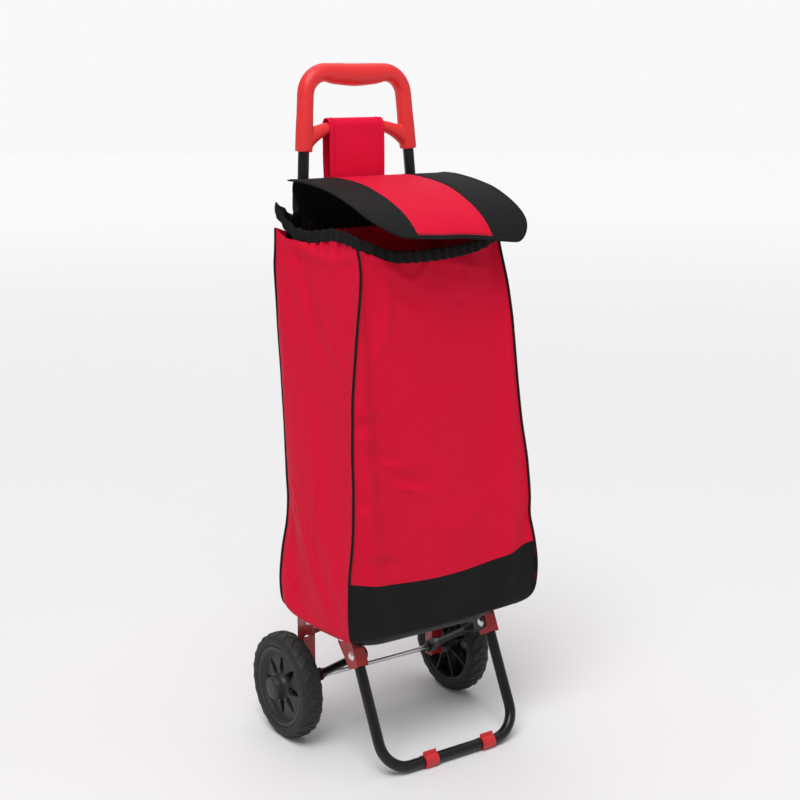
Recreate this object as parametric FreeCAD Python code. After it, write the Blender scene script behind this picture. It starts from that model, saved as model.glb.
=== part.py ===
import FreeCAD, Part
import math
import os

os.makedirs("parts", exist_ok=True)
V = FreeCAD.Vector

# Sizes in millimetres. X runs across the trolley, -Y is its front, Z is up.
# Sizes here are taken from the ground under the axle. Each part is then moved back
# by axle_back, so that the origin is under the middle of the whole trolley.
axle_back = 69.25

# Wheels and axle
wheel_d = 160.0
tyre_w = 33.0
rim_d = 122.0
hub_d = 32.0
hub_l = 38.0
track = 307.0
axle_d = 8.0
axle_end = 1.8
spokes = 8
drop_r = 6.4
tread_blocks = 26
tread_depth = 2.2
cap_wall = 1.5

# Tubes
tube_d = 16.0
tube_wall = 1.2
arm_x = 118.0
upright_bend_z = 470.0
upright_start_z = 192.0
socket_x = 91.0
socket_z = 862.0
lean = 2.64
leg_bend = 42.0
platform_bend = 38.0
platform_front = 146.0
foot_y = 208.0

# Fold linkage, side view (y, z)
pivot_a = (-20.0, 177.0)
pivot_c = (-110.0, 181.5)
pivot_d = (-135.0, 163.0)

# Brackets and rivets
sheet = 1.4
side_gap = 0.3
rear_depth = 18.0
rear_bottom = 66.0
rear_top = 236.0
rivet_d = 5.0
head_d = 10.0
strut_d = 12.0
strut_flat = 2.8
strut_flat_w = 19.0
strut_play = 3.7

# Handle
grip_z = 972.0
handle_d = 25.0
shoulder_x = 82.0
shoulder_bend = 34.0
grip_h = 32.0
grip_depth = 27.0
grip_l = 96.0
bar_d = 17.0
bar_z = 899.0
bar_rise = 15.0
socket_depth = 42.0

# Feet
clip_wall = 2.5
clip_l = 22.0
clip_left_x = -43.0
clip_right_x = 60.0
clip_flat = 0.8

# Bag, flap and strap
cloth = 2.0
bag_stand = 4.0 + tube_d / 2  # from the middle of the uprights to the back of the bag
bag_bottom_z = 184.0 + tube_d / 2  # just above the platform tube
bag_top_z = 752.0
band_z = 282.0
hem_h = 18.0
hem_w = 6.0
piping_d = 4.0
hood_w = 244.0
hood_top = 821.0
flap_w = 254.0
flap_reach = 214.0
flap_corner = 58.0
stripe_w = 130.0
binding = 3.0
strap_w = 94.0
strap_t = 1.8
strap_x = -5.0

# Clearances
run_fit = 0.08
rivet_fit = 0.05
soft_gap = 0.5

tube_r = tube_d / 2
bore_out, bore_in = -arm_x - 32.0, -arm_x + 28.0  # as far as the bores reach
foot_z = tube_r + clip_wall - clip_flat
axle_z = wheel_d / 2
bracket_in = tube_r + side_gap
bracket_out = bracket_in + sheet
strut_x = arm_x - bracket_out - 0.3 - strut_flat / 2
lean_t = math.tan(math.radians(lean))


def upright_y(z):
    return 3.0 + (z - 190.0) * lean_t


def save(shape, name):
    shape = shape.copy()
    shape.translate(V(0, axle_back, 0))
    shape.exportStep("parts/" + name + ".step")
    print(name, len(shape.Solids), round(shape.Volume / 1000, 2), shape.isValid())


def bent(points, bend):
    """Edges of a line through the points with its corners rounded."""
    pts = [V(*p) for p in points]
    edges = []
    start = pts[0]
    for i in range(1, len(pts) - 1):
        a = (pts[i] - pts[i - 1]).normalize()
        b = (pts[i + 1] - pts[i]).normalize()
        half = a.getAngle(b) / 2
        cut = bend * math.tan(half)
        t1 = pts[i] - a * cut
        t2 = pts[i] + b * cut
        toward = (b - a).normalize()
        mid = pts[i] + toward * (bend / math.cos(half) - bend)
        edges.append(Part.makeLine(start, t1))
        edges.append(Part.Arc(t1, mid, t2).toShape())
        start = t2
    edges.append(Part.makeLine(start, pts[-1]))
    return edges


def rod(points, bend, radius):
    path = Part.Wire(bent(points, bend))
    first = V(*points[0])
    ahead = V(*points[1]) - first
    ring = Part.Wire(Part.makeCircle(radius, first, ahead))
    return path.makePipeShell([ring], True, True)


def pipe(points, bend, radius, wall):
    outer = rod(points, bend, radius)
    return outer.cut(rod(points, bend, radius - wall))


def face_of(points, radius=0.0):
    """A flat face whose corners are all rounded by one radius."""
    if radius <= 0:
        return Part.Face(Part.makePolygon([V(*p) for p in points + points[:1]]))
    n = len(points)
    pts = [V(*p) for p in points]
    edges = []
    ends = []
    for i in range(n):
        a = (pts[i] - pts[i - 1]).normalize()
        b = (pts[(i + 1) % n] - pts[i]).normalize()
        half = a.getAngle(b) / 2
        cut = radius * math.tan(half)
        t1 = pts[i] - a * cut
        t2 = pts[i] + b * cut
        mid = pts[i] + (b - a).normalize() * (radius / math.cos(half) - radius)
        ends.append((t1, mid, t2))
    for i in range(n):
        edges.append(Part.Arc(*ends[i]).toShape())
        edges.append(Part.makeLine(ends[i][2], ends[(i + 1) % n][0]))
    return Part.Face(Part.Wire(edges))


def slab(yz, x0, x1, radius=0.0):
    """A plate across X with an outline given as (y, z) points."""
    return face_of([(x0, y, z) for y, z in yz], radius).extrude(V(x1 - x0, 0, 0))


def cross_pin(x0, x1, y, z, radius):
    return Part.makeCylinder(radius, x1 - x0, V(x0, y, z), V(1, 0, 0))


def dome(x, y, z, way, radius, height):
    return Part.makeCone(radius, radius * 0.6, height, V(x, y, z), V(way, 0, 0))


def rivet(x0, x1, y, z, head=head_d):
    pin = cross_pin(x0, x1, y, z, rivet_d / 2)
    left = dome(x0, y, z, -1, head / 2, 2.0)
    right = dome(x1, y, z, 1, head / 2, 2.0)
    return pin.fuse([left, right]).removeSplitter()


def both(shape):
    return [shape, shape.mirror(V(0, 0, 0), V(1, 0, 0))]


def group(shapes):
    return Part.makeCompound(shapes)


def spin(shape, count, offset=0.0):
    turned = []
    for i in range(count):
        one = shape.copy()
        one.rotate(V(0, 0, axle_z), V(1, 0, 0), offset + 360.0 * i / count)
        turned.append(one)
    return turned


def revolve_x(profile):
    """Turns an (x, radius) outline about the axle line."""
    face = face_of([(x, 0, axle_z + r) for x, r in profile])
    return face.revolve(V(0, 0, axle_z), V(1, 0, 0), 360)


# Left wheel: rim, tyre and cap, each mirrored for the right one
mid = -track / 2
out = mid - tyre_w / 2
inn = mid + tyre_w / 2
rim_r = rim_d / 2
hub_r = hub_d / 2
wheel_r = wheel_d / 2
hub_end = inn - hub_l
web = out + 9.0
rim = revolve_x([(inn, axle_d / 2 + rivet_fit), (inn, hub_r), (web + 4, hub_r),
                 (web + 4, rim_r - 11), (web + 1, rim_r - 4), (inn - 2, rim_r - 4),
                 (inn - 2, rim_r), (out + 2, rim_r), (out + 2, rim_r - 8),
                 (web, rim_r - 12), (web - 1, hub_r + 4), (web - 1, hub_r),
                 (hub_end, hub_r), (hub_end, axle_d / 2 + rivet_fit)])
hole_at = axle_z + hub_r + 3.5 + drop_r
drop = Part.makeCylinder(drop_r, 20, V(web - 8, 0, hole_at), V(1, 0, 0))
tip = face_of([(web - 8, -drop_r + 0.3, hole_at + 1.6), (web - 8, 0, axle_z + rim_r - 16),
               (web - 8, drop_r - 0.3, hole_at + 1.6)]).extrude(V(20, 0, 0))
rim = rim.cut(group(spin(drop.fuse(tip), spokes)))
rib = Part.makeBox(inn - 4 - web - 3, 2.4, rim_r - hub_r - 3,
                   V(web + 3, -1.2, axle_z + hub_r - 1))
rim = rim.fuse(spin(rib, spokes, 180.0 / spokes)).removeSplitter()

tyre = revolve_x([(inn - 2, rim_r), (inn + 0.5, rim_r + 8), (inn - 1.5, wheel_r - 3.5),
                  (inn - 9, wheel_r), (out + 9, wheel_r), (out + 1.5, wheel_r - 3.5),
                  (out - 0.5, rim_r + 8), (out + 2, rim_r)])
notch = Part.makeBox(11, 6, tread_depth + 6, V(out - 2, -3, axle_z + wheel_r - tread_depth))
other = Part.makeBox(11, 6, tread_depth + 6, V(inn - 9, -3, axle_z + wheel_r - tread_depth))
notches = spin(notch, tread_blocks, 180.0 / tread_blocks)
notches += spin(other, tread_blocks)
tyre = tyre.cut(group(notches))

cap_r = hub_r + cap_wall
cap_x = hub_end - 7.0
cap = revolve_x([(cap_x, 0), (cap_x, cap_r - 2), (cap_x + 2, cap_r), (web - 2, cap_r),
                 (web - 2, hub_r), (cap_x + cap_wall, hub_r), (cap_x + cap_wall, 0)])
for part, name in ((rim, "rim"), (tyre, "tyre"), (cap, "hub_cap")):
    left, right = both(part)
    save(left, name + "_left")
    save(right, name + "_right")

# Axle, its spacers and push nuts
axle_x = -hub_end + axle_end + 2.2
save(cross_pin(-axle_x, axle_x, 0, axle_z, axle_d / 2), "axle")
bracket_x = -arm_x - bracket_out
spacer = revolve_x([(inn + 0.3, axle_d / 2), (inn + 0.3, 7.5), (bracket_x, 7.5),
                    (bracket_x, axle_d / 2)])
washer_x = -strut_x + strut_flat / 2 + 0.3
washer = revolve_x([(washer_x, axle_d / 2), (washer_x, 8.0), (washer_x + 1.6, 8.0),
                    (washer_x + 1.6, axle_d / 2)])
save(group(both(spacer) + both(washer)), "axle_spacers")
nut = revolve_x([(hub_end - 0.3, axle_d / 2), (hub_end - 0.3, 9.0), (hub_end - 1.3, 9.5),
                 (hub_end - 2.2, 5.5), (hub_end - 2.2, axle_d / 2)])
save(group(both(nut)), "axle_push_nuts")

# Rear brackets: a channel closed in front, with lugs for the platform
front = 3.0 - tube_r - 2.0
back = front + rear_depth
side = [(front, rear_bottom), (front, 152), (pivot_a[0] - 12, 166),
        (pivot_a[0] - 12, 188.5), (front, 190), (front, rear_top),
        (back, rear_top), (back, rear_bottom)]
outer = slab(side, -arm_x - bracket_out, -arm_x - bracket_in, 2.0)
inner = slab(side, -arm_x + bracket_in, -arm_x + bracket_out, 2.0)
width = 2 * bracket_out
low = Part.makeBox(width, sheet, 148 - rear_bottom,
                   V(-arm_x - bracket_out, front, rear_bottom + 2))
high = Part.makeBox(width, sheet, rear_top - 196,
                    V(-arm_x - bracket_out, front, 194))
rear = outer.fuse([inner, low, high]).removeSplitter()
bore = cross_pin(bore_out, bore_in, 0, axle_z, axle_d / 2 + rivet_fit)
rear = rear.cut([bore, cross_pin(bore_out, bore_in, *pivot_a, rivet_d / 2 + rivet_fit)])
upright_rivet_z = (208.0, 226.0)
holes = [cross_pin(bore_out, bore_in, upright_y(z), z, rivet_d / 2 + rivet_fit)
         for z in upright_rivet_z]
rear = rear.cut(holes)
left, right = both(rear)
save(left, "rear_bracket_left")
save(right, "rear_bracket_right")

# Uprights
top_z = socket_z + socket_depth - 2
slope = (arm_x - socket_x) / (socket_z - upright_bend_z)
top_x = socket_x - slope * (top_z - socket_z)
line = [(-arm_x, upright_y(upright_start_z), upright_start_z),
        (-arm_x, upright_y(upright_bend_z), upright_bend_z),
        (-top_x, upright_y(top_z), top_z)]
upright = pipe(line, 120.0, tube_r, tube_wall).cut(holes)
screw_z = socket_z + 16
screw_x = socket_x - slope * 16
pilot = Part.makeCylinder(1.6, 30, V(-screw_x, upright_y(screw_z), screw_z), V(0, 1, 0))
left, right = both(upright.cut(pilot))
save(left, "upright_left")
save(right, "upright_right")
rivets = []
for z in upright_rivet_z:
    one = rivet(-arm_x - bracket_out, -arm_x + bracket_out, upright_y(z), z)
    rivets += both(one)
save(group(rivets), "upright_rivets")
one = rivet(-arm_x - bracket_out, -arm_x + bracket_out, *pivot_a)
save(group(both(one)), "platform_rivets")

# Handle: sockets, grip and arched cross bar, one moulding
hy = upright_y
line = [(-socket_x, hy(socket_z), socket_z), (-shoulder_x, hy(grip_z), grip_z),
        (shoulder_x, hy(grip_z), grip_z), (socket_x, hy(socket_z), socket_z)]
loop = rod(line, shoulder_bend, handle_d / 2)
oval = Part.Ellipse(V(0, 0, 0), grip_h / 2, grip_depth / 2).toShape()
grip = Part.Face(Part.Wire(oval)).extrude(V(0, 0, grip_l))
grip.rotate(V(0, 0, 0), V(0, 1, 0), 90)
grip.translate(V(-grip_l / 2, hy(grip_z), grip_z - 1.5))
ends = V(-socket_x + 2, hy(bar_z), bar_z - bar_rise)
crown = V(0, hy(bar_z), bar_z)
arc = Part.Arc(ends, crown, V(-ends.x, ends.y, ends.z)).toShape()
ring = Part.Wire(Part.makeCircle(bar_d / 2, ends, arc.tangentAt(arc.FirstParameter)))
bar = Part.Wire([arc]).makePipeShell([ring], True, True)
handle = loop.fuse([grip, bar]).removeSplitter()
deep = V(-top_x, upright_y(top_z), top_z)
base = V(-socket_x, upright_y(socket_z), socket_z)
way = (deep - base).normalize()
bore = Part.makeCylinder(tube_r + 0.05, (deep - base).Length + 12, base - way * 10, way)
reach = handle_d / 2 - 1
hole = Part.makeCylinder(1.6, reach, V(-screw_x, hy(screw_z) + 3, screw_z), V(0, 1, 0))
handle = handle.cut(both(bore) + both(hole))
save(handle, "handle")
shank = Part.makeCylinder(1.55, reach - 2, V(-screw_x, hy(screw_z) + 5, screw_z), V(0, 1, 0))
knob = Part.makeCylinder(3.6, 1.8, V(-screw_x, hy(screw_z) + reach + 1.4, screw_z), V(0, 1, 0))
save(group(both(shank.fuse(knob))), "handle_screws")

# Platform: a tube bent in a U, turning on the rear brackets
rise = (pivot_c[1] - pivot_a[1]) / (pivot_c[0] - pivot_a[0])


def arm_z(y):
    return pivot_a[1] + (y - pivot_a[0]) * rise


tail = pivot_a[0] + 11.0
bar_y = -platform_front
line = [(-arm_x, tail, arm_z(tail)), (-arm_x, bar_y, arm_z(bar_y)),
        (arm_x, bar_y, arm_z(bar_y)), (arm_x, tail, arm_z(tail))]
platform = pipe(line, platform_bend, tube_r, tube_wall)
holes = []
for at in (pivot_a, pivot_c):
    holes += both(cross_pin(bore_out, bore_in, *at, rivet_d / 2 + run_fit))
platform = platform.cut(holes)
save(platform, "platform_tube")
one = rivet(-arm_x - bracket_out - 0.3, -arm_x + bracket_out + 0.3, *pivot_c, 9.0)
save(group(both(one)), "hinge_rivets")

# Front leg: a U tube in two brackets that turn on the platform
dy = pivot_d[0] + foot_y
dz = pivot_d[1] - foot_z
run = math.hypot(dy, dz)
uy, uz = dy / run, dz / run


def on_leg(along, across):
    """A point beside the leg, measured from its rivet; across is to the rear."""
    return (pivot_d[0] + uy * along + uz * across, pivot_d[1] + uz * along - uy * across)


top = on_leg(6.5, 0)
line = [(-arm_x, *top), (-arm_x, -foot_y, foot_z), (arm_x, -foot_y, foot_z), (arm_x, *top)]
leg = pipe(line, leg_bend, tube_r, tube_wall)
leg = leg.cut(both(cross_pin(bore_out, bore_in, *pivot_d, rivet_d / 2 + rivet_fit)))
save(leg, "leg_tube")
cy, cz = pivot_c
side = [on_leg(-18, -tube_r - sheet), on_leg(15, -tube_r - sheet), (cy - 11, cz + 7.5),
        (cy + 8, cz + 7.5), (cy + 9, cz - 8), on_leg(-18, tube_r + 5)]
outer = slab(side, -arm_x - bracket_out, -arm_x - bracket_in, 1.5)
inner = slab(side, -arm_x + bracket_in, -arm_x + bracket_out, 1.5)
wall = [on_leg(-17, -tube_r - sheet), on_leg(8, -tube_r - sheet),
        on_leg(8, -tube_r), on_leg(-17, -tube_r)]
web_plate = slab(wall, -arm_x - bracket_out, -arm_x + bracket_out)
bracket = outer.fuse([inner, web_plate]).removeSplitter()
bracket = bracket.cut([cross_pin(bore_out, bore_in, *pivot_d, rivet_d / 2 + rivet_fit),
                       cross_pin(bore_out, bore_in, *pivot_c, rivet_d / 2 + run_fit)])
corner = rod([(-arm_x, cy, arm_z(cy)), (-arm_x, bar_y, arm_z(bar_y)),
              (0, bar_y, arm_z(bar_y))], platform_bend, tube_r + side_gap - 0.05)
for turn in range(0, 91, 5):
    room = corner.copy()
    room.rotate(V(0, cy, cz), V(-1, 0, 0), turn)
    bracket = bracket.cut(room)
left, right = both(bracket)
save(left, "front_bracket_left")
save(right, "front_bracket_right")
one = rivet(-arm_x - bracket_out, -strut_x + strut_flat / 2 + 0.3, *pivot_d, 14.0)
save(group(both(one)), "strut_rivets")


# Feet clipped on the leg's cross bar
def foot(x):
    ring_o = Part.makeCylinder(tube_r + clip_wall, clip_l, V(x - clip_l / 2, 0, 0), V(1, 0, 0))
    ring_i = Part.makeCylinder(tube_r, clip_l, V(x - clip_l / 2, 0, 0), V(1, 0, 0))
    gap = Part.makeBox(clip_l + 2, 9, 14, V(x - clip_l / 2 - 1, 0.5, 2.5))
    tab = Part.makeBox(clip_l, 2.5, 5.0, V(x - clip_l / 2, -2.0, tube_r + clip_wall - 0.8))
    ground = Part.makeBox(clip_l + 2, 30, 6, V(x - clip_l / 2 - 1, -15, -foot_z - 6))
    clip = ring_o.cut([ring_i, gap, ground]).fuse(tab.cut(ring_i)).removeSplitter()
    clip.translate(V(0, -foot_y, foot_z))
    return clip


save(foot(clip_left_x), "foot_clip_left")
save(foot(clip_right_x), "foot_clip_right")

# Struts from the axle to the front brackets, with flattened ends
sy, sz = pivot_d[0], pivot_d[1] - axle_z
length = math.hypot(sy, sz)
end_r = strut_flat_w / 2
flat = Part.makeBox(strut_flat, strut_flat_w, 24, V(-strut_flat / 2, -end_r, 0))
flat = flat.fuse(Part.makeCylinder(end_r, strut_flat, V(-strut_flat / 2, 0, 0), V(1, 0, 0)))
oval = Part.Ellipse(V(0, 0, 0), end_r, strut_flat / 2).toShape()
oval.rotate(V(0, 0, 0), V(0, 0, 1), 90)
ring = Part.makeCircle(strut_d / 2, V(0, 0, 40))
ring.rotate(V(0, 0, 0), V(0, 0, 1), 90)
lower = oval.copy()
lower.translate(V(0, 0, 20))
neck = Part.makeLoft([Part.Wire(lower), Part.Wire(ring)], True, True)
end_a = flat.fuse(neck)
end_b = end_a.copy()
end_b.rotate(V(0, 0, length / 2), V(1, 0, 0), 180)
shaft = Part.makeCylinder(strut_d / 2, length - 80, V(0, 0, 40))
strut = end_a.fuse([end_b, shaft]).removeSplitter()
strut.rotate(V(0, 0, 0), V(1, 0, 0), math.degrees(math.atan2(-sy, sz)))
strut.translate(V(-strut_x, 0, axle_z))
strut = strut.cut([cross_pin(bore_out, bore_in, 0, axle_z, axle_d / 2 + run_fit),
                   cross_pin(bore_out, bore_in, *pivot_d, rivet_d / 2 + strut_play)])
left, right = both(strut)
save(left, "strut_left")
save(right, "strut_right")

# Bag: one closed shape, hollowed and cut into its sewn panels
# Each level is z, half width, front y and the distance it stands off the uprights.
levels = [(bag_bottom_z, 146, -170, bag_stand), (bag_bottom_z + 40, 162, -186, bag_stand),
          (330, 160, -184, bag_stand), (540, 149, -176, bag_stand), (690, 140, -172, bag_stand),
          (bag_top_z, 131, -168, bag_stand)]


def ring_at(z, half, front_y, rear_y, corner, inset):
    x0, x1 = -half + inset, half - inset
    y0, y1 = front_y + inset, rear_y - inset
    r = max(corner - inset, 1.0)
    face = face_of([(x0, y0, z), (x1, y0, z), (x1, y1, z), (x0, y1, z)], r)
    return face.OuterWire


def rear_of(z, stand):
    return upright_y(z) - stand


outer = Part.makeLoft([ring_at(z, h, f, rear_of(z, s), 14, 0)
                       for z, h, f, s in levels], True, True)
inner_rings = [ring_at(z, h, f, rear_of(z, s), 14, cloth) for z, h, f, s in levels]
inner = Part.makeLoft(inner_rings, True, True)
inner.translate(V(0, 0, cloth))
lid = Part.makeBox(400, 400, cloth + 1, V(-200, -250, bag_top_z))
shell = outer.cut([inner, lid])
tall = bag_top_z + 50
front_cut = slab([(-300, 100)] + [(f + 16, z) for z, h, f, s in levels]
                 + [(levels[-1][2] + 16, tall), (-300, tall)], -250, 250)
floor_cut = Part.makeBox(500, 500, 14, V(-250, -250, bag_bottom_z - 2))


def beside(sign):
    outline = [(sign * (h - 14), 0, z) for z, h, f, s in levels]
    outline = [(sign * (levels[0][1] - 14), 0, 100)] + outline
    outline += [(sign * (levels[-1][1] - 14), 0, tall), (sign * 300, 0, tall),
                (sign * 300, 0, 100)]
    face = Part.Face(Part.makePolygon([V(*p) for p in outline + outline[:1]]))
    face.translate(V(0, -300, 0))
    return face.extrude(V(0, 600, 0))


keep = Part.makeBox(600, 600, bag_top_z - bag_bottom_z, V(-300, -300, bag_bottom_z))
seam_in = cloth + 0.5
front_line = [(-h + seam_in, f + seam_in, z) for z, h, f, s in levels]
rear_line = [(-h + seam_in, rear_of(z, s) - seam_in, z) for z, h, f, s in levels]
seams = []
for line, name in ((front_line, "piping_front"), (rear_line, "piping_rear")):
    left, right = both(rod(line, 20.0, piping_d / 2).common(keep))
    save(left, name + "_left")
    save(right, name + "_right")
    seams += [left, right]
shell = shell.cut(seams)
front_panel = shell.common(front_cut)
rest = shell.cut(front_cut)
bottom_panel = rest.common(floor_cut)
rest = rest.cut(floor_cut)
left_panel = rest.common(beside(-1))
right_panel = rest.common(beside(1))
back_panel = rest.cut([beside(-1), beside(1)])
band_cut = Part.makeBox(500, 500, band_z - 100, V(-250, -400, 100))
save(front_panel.cut(band_cut), "bag_front")
save(front_panel.common(band_cut), "bag_lower_band")
save(left_panel, "bag_side_left")
save(right_panel, "bag_side_right")
save(back_panel, "bag_back")
save(bottom_panel, "bag_bottom")
b = levels[0]
board_half = b[1] - 12
board_y0 = b[2] + 12
board_y1 = rear_of(b[0], b[3]) - 12
board = Part.makeBox(2 * board_half, board_y1 - board_y0, 3.0,
                     V(-board_half, board_y0, bag_bottom_z + cloth))
save(board, "base_board")
t = levels[-1]
hem_out = Part.Face(ring_at(t[0], t[1], t[2], rear_of(t[0], t[3]), 16, -0.5))
hem_in = Part.Face(ring_at(t[0], t[1], t[2], rear_of(t[0], t[3]), 16, hem_w))
hem = hem_out.cut(hem_in).extrude(V(0, 0, hem_h))
save(hem, "gathered_hem")

# Hood: the black cloth that rises behind the mouth and carries the flap
hood_bottom = bag_top_z - 22
hood = [(rear_of(hood_bottom, t[3]) + 0.6, hood_bottom),
        (rear_of(hood_top, t[3]) + 0.6, hood_top),
        (rear_of(hood_top, t[3]) + 0.6 + cloth, hood_top),
        (rear_of(hood_bottom, t[3]) + 0.6 + cloth, hood_bottom)]
save(slab(hood, -hood_w / 2, hood_w / 2), "hood")

# Strap: a loop over the cross bar, sewn behind the hood
strap_r = bar_d / 2 + soft_gap
cyb = hy(bar_z)
fy = cyb - strap_r
foot_f = rear_of(775, t[3]) + 0.7 + cloth + strap_t
low_f = [(foot_f, 775.0), (foot_f + 40 * lean_t, 815.0), (fy, bar_z)]
low_b = [(cyb + strap_r, bar_z), (cyb + 8, 800.0), (foot_f + 1.0, 760.0)]
centre = V(0, cyb, bar_z)


def loop_face(thick):
    lo = [V(0, y - thick, z) for y, z in low_f]
    hi = [V(0, y + thick, z) for y, z in low_b]
    crest = V(0, cyb, bar_z + strap_r + thick)
    edges = [Part.makeLine(lo[0], lo[1]), Part.makeLine(lo[1], lo[2]),
             Part.Arc(lo[2], crest, hi[0]).toShape(), Part.makeLine(hi[0], hi[1]),
             Part.makeLine(hi[1], hi[2]), Part.makeLine(hi[2], lo[0])]
    return Part.Face(Part.Wire(edges))


strap = loop_face(strap_t).cut(loop_face(0.0))
strap.translate(V(strap_x - strap_w / 2, 0, 0))
strap = strap.extrude(V(strap_w, 0, 0))
save(strap, "strap")

# Flap: three cloths in one curved sheet with a bound edge
hinge_y = rear_of(hood_top, t[3])
curve = [(hinge_y - 0.2, hood_top + 1.0), (-30, 824.0), (-90, 817.5), (-140, 801.0),
         (-180, 779.0), (-flap_reach, 748.0)]


def sheet_of(lift, thick):
    low_pts = [V(0, y, z + lift) for y, z in curve]
    high_pts = [V(0, y, z + lift + thick) for y, z in curve]
    a = Part.BSplineCurve()
    a.interpolate(low_pts)
    b2 = Part.BSplineCurve()
    b2.interpolate(high_pts)
    face = Part.Face(Part.Wire([a.toShape(), Part.makeLine(low_pts[-1], high_pts[-1]),
                                b2.toShape(), Part.makeLine(high_pts[0], low_pts[0])]))
    face.translate(V(-200, 0, 0))
    return face.extrude(V(400, 0, 0))


def plan(inset):
    half = flap_w / 2 - inset
    y0 = -flap_reach + inset
    y1 = hinge_y - 0.2 - inset
    r = flap_corner - inset
    pts = [V(-half, y1, 700), V(half, y1, 700), V(half, y0 + r, 700),
           V(half - r, y0, 700), V(-half + r, y0, 700), V(-half, y0 + r, 700)]
    k = r * (1 - math.sqrt(0.5))
    edges = [Part.makeLine(pts[0], pts[1]), Part.makeLine(pts[1], pts[2]),
             Part.Arc(pts[2], V(half - k, y0 + k, 700), pts[3]).toShape(),
             Part.makeLine(pts[3], pts[4]),
             Part.Arc(pts[4], V(-half + k, y0 + k, 700), pts[5]).toShape(),
             Part.makeLine(pts[5], pts[0])]
    return Part.Face(Part.Wire(edges)).extrude(V(0, 0, 200))


cloth_sheet = sheet_of(0.5, cloth).common(plan(binding))
strip = Part.makeBox(stripe_w, 400, 300, V(-stripe_w / 2, -300, 650))
beyond = Part.makeBox(200, 400, 300, V(stripe_w / 2, -300, 650))
save(cloth_sheet.common(strip), "flap_centre")
left, right = both(cloth_sheet.common(beyond))
save(right, "flap_side_left")
save(left, "flap_side_right")
bound = sheet_of(0.0, cloth + 1.0).common(plan(0.0).cut(plan(binding)))
save(bound, "flap_binding")
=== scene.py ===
import math
import bpy
import numpy as np
from mathutils import Matrix, Vector, noise


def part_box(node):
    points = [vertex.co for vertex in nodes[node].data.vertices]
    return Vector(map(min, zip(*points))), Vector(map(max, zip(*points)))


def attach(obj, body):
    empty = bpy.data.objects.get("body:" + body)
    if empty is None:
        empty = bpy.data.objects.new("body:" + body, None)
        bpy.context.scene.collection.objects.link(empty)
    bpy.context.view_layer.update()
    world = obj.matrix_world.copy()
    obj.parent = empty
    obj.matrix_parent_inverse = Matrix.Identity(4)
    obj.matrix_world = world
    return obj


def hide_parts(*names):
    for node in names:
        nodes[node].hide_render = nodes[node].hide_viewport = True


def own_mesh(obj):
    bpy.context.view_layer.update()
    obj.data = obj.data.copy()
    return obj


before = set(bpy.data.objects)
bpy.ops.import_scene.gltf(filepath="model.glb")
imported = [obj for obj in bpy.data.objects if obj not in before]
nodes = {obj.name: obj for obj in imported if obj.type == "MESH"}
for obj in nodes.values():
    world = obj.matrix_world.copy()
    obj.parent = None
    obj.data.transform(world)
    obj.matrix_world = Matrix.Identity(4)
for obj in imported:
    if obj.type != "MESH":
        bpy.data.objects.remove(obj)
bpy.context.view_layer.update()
leanSlope = math.tan(math.radians(2.64))  # the uprights lean back by this much
axleLow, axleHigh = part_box("axle")
axleY = (axleLow[1] + axleHigh[1]) / 2  # shapes are worked out from the axle, then moved back by this much


def uprightY(z):
    return 0.003 + (z - 0.190) * leanSlope


# materials
def addNode(tree, kind, place=(0, 0), **values):
    node = tree.nodes.new(kind)
    node.location = place
    for key, value in values.items():
        if hasattr(node, key):
            setattr(node, key, value)
        else:
            node.inputs[key.replace("_", " ")].default_value = value
    return node


def mathNode(tree, operation, a, b=None, clamp=False):
    node = tree.nodes.new("ShaderNodeMath")
    node.operation = operation
    node.use_clamp = clamp
    for i, value in enumerate((a, b)):
        if value is None:
            continue
        if isinstance(value, (int, float)):
            node.inputs[i].default_value = value
        else:
            tree.links.new(value, node.inputs[i])
    return node.outputs[0]


def newGroup(name, inputs, outputs):
    group = bpy.data.node_groups.new(name, "ShaderNodeTree")
    for label, kind, value in inputs:
        socket = group.interface.new_socket(label, in_out="INPUT", socket_type=kind)
        if value is not None:
            socket.default_value = value
    for label, kind in outputs:
        group.interface.new_socket(label, in_out="OUTPUT", socket_type=kind)
    start = group.nodes.new("NodeGroupInput")
    end = group.nodes.new("NodeGroupOutput")
    return group, start.outputs, end.inputs


def weaveGroup():
    # plain weave from the piece's own map, whose units are metres, with a mask for painted shade along the lines
    # between threads
    group, given, out = newGroup(
        "plainWeave",
        [("Vector", "NodeSocketVector", None), ("Threads", "NodeSocketFloat", 1400.0)],
        [("Height", "NodeSocketFloat"), ("GapShade", "NodeSocketFloat")])
    split = group.nodes.new("ShaderNodeSeparateXYZ")
    group.links.new(given["Vector"], split.inputs[0])
    u = mathNode(group, "MULTIPLY", split.outputs[0], given["Threads"])
    v = mathNode(group, "MULTIPLY", split.outputs[1], given["Threads"])
    warp = mathNode(group, "ABSOLUTE", mathNode(group, "SINE", mathNode(group, "MULTIPLY", u, math.pi)))
    weft = mathNode(group, "ABSOLUTE", mathNode(group, "SINE", mathNode(group, "MULTIPLY", v, math.pi)))
    steps = mathNode(group, "ADD", mathNode(group, "FLOOR", u), mathNode(group, "FLOOR", v))
    over = mathNode(group, "PINGPONG", steps, 1.0)
    under = mathNode(group, "SUBTRACT", 1.0, over)
    height = mathNode(group, "ADD", mathNode(group, "MULTIPLY", warp, over),
                      mathNode(group, "MULTIPLY", weft, under))
    group.links.new(height, out["Height"])
    gap = mathNode(group, "MULTIPLY", warp, weft)
    group.links.new(gap, out["GapShade"])
    return group


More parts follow.
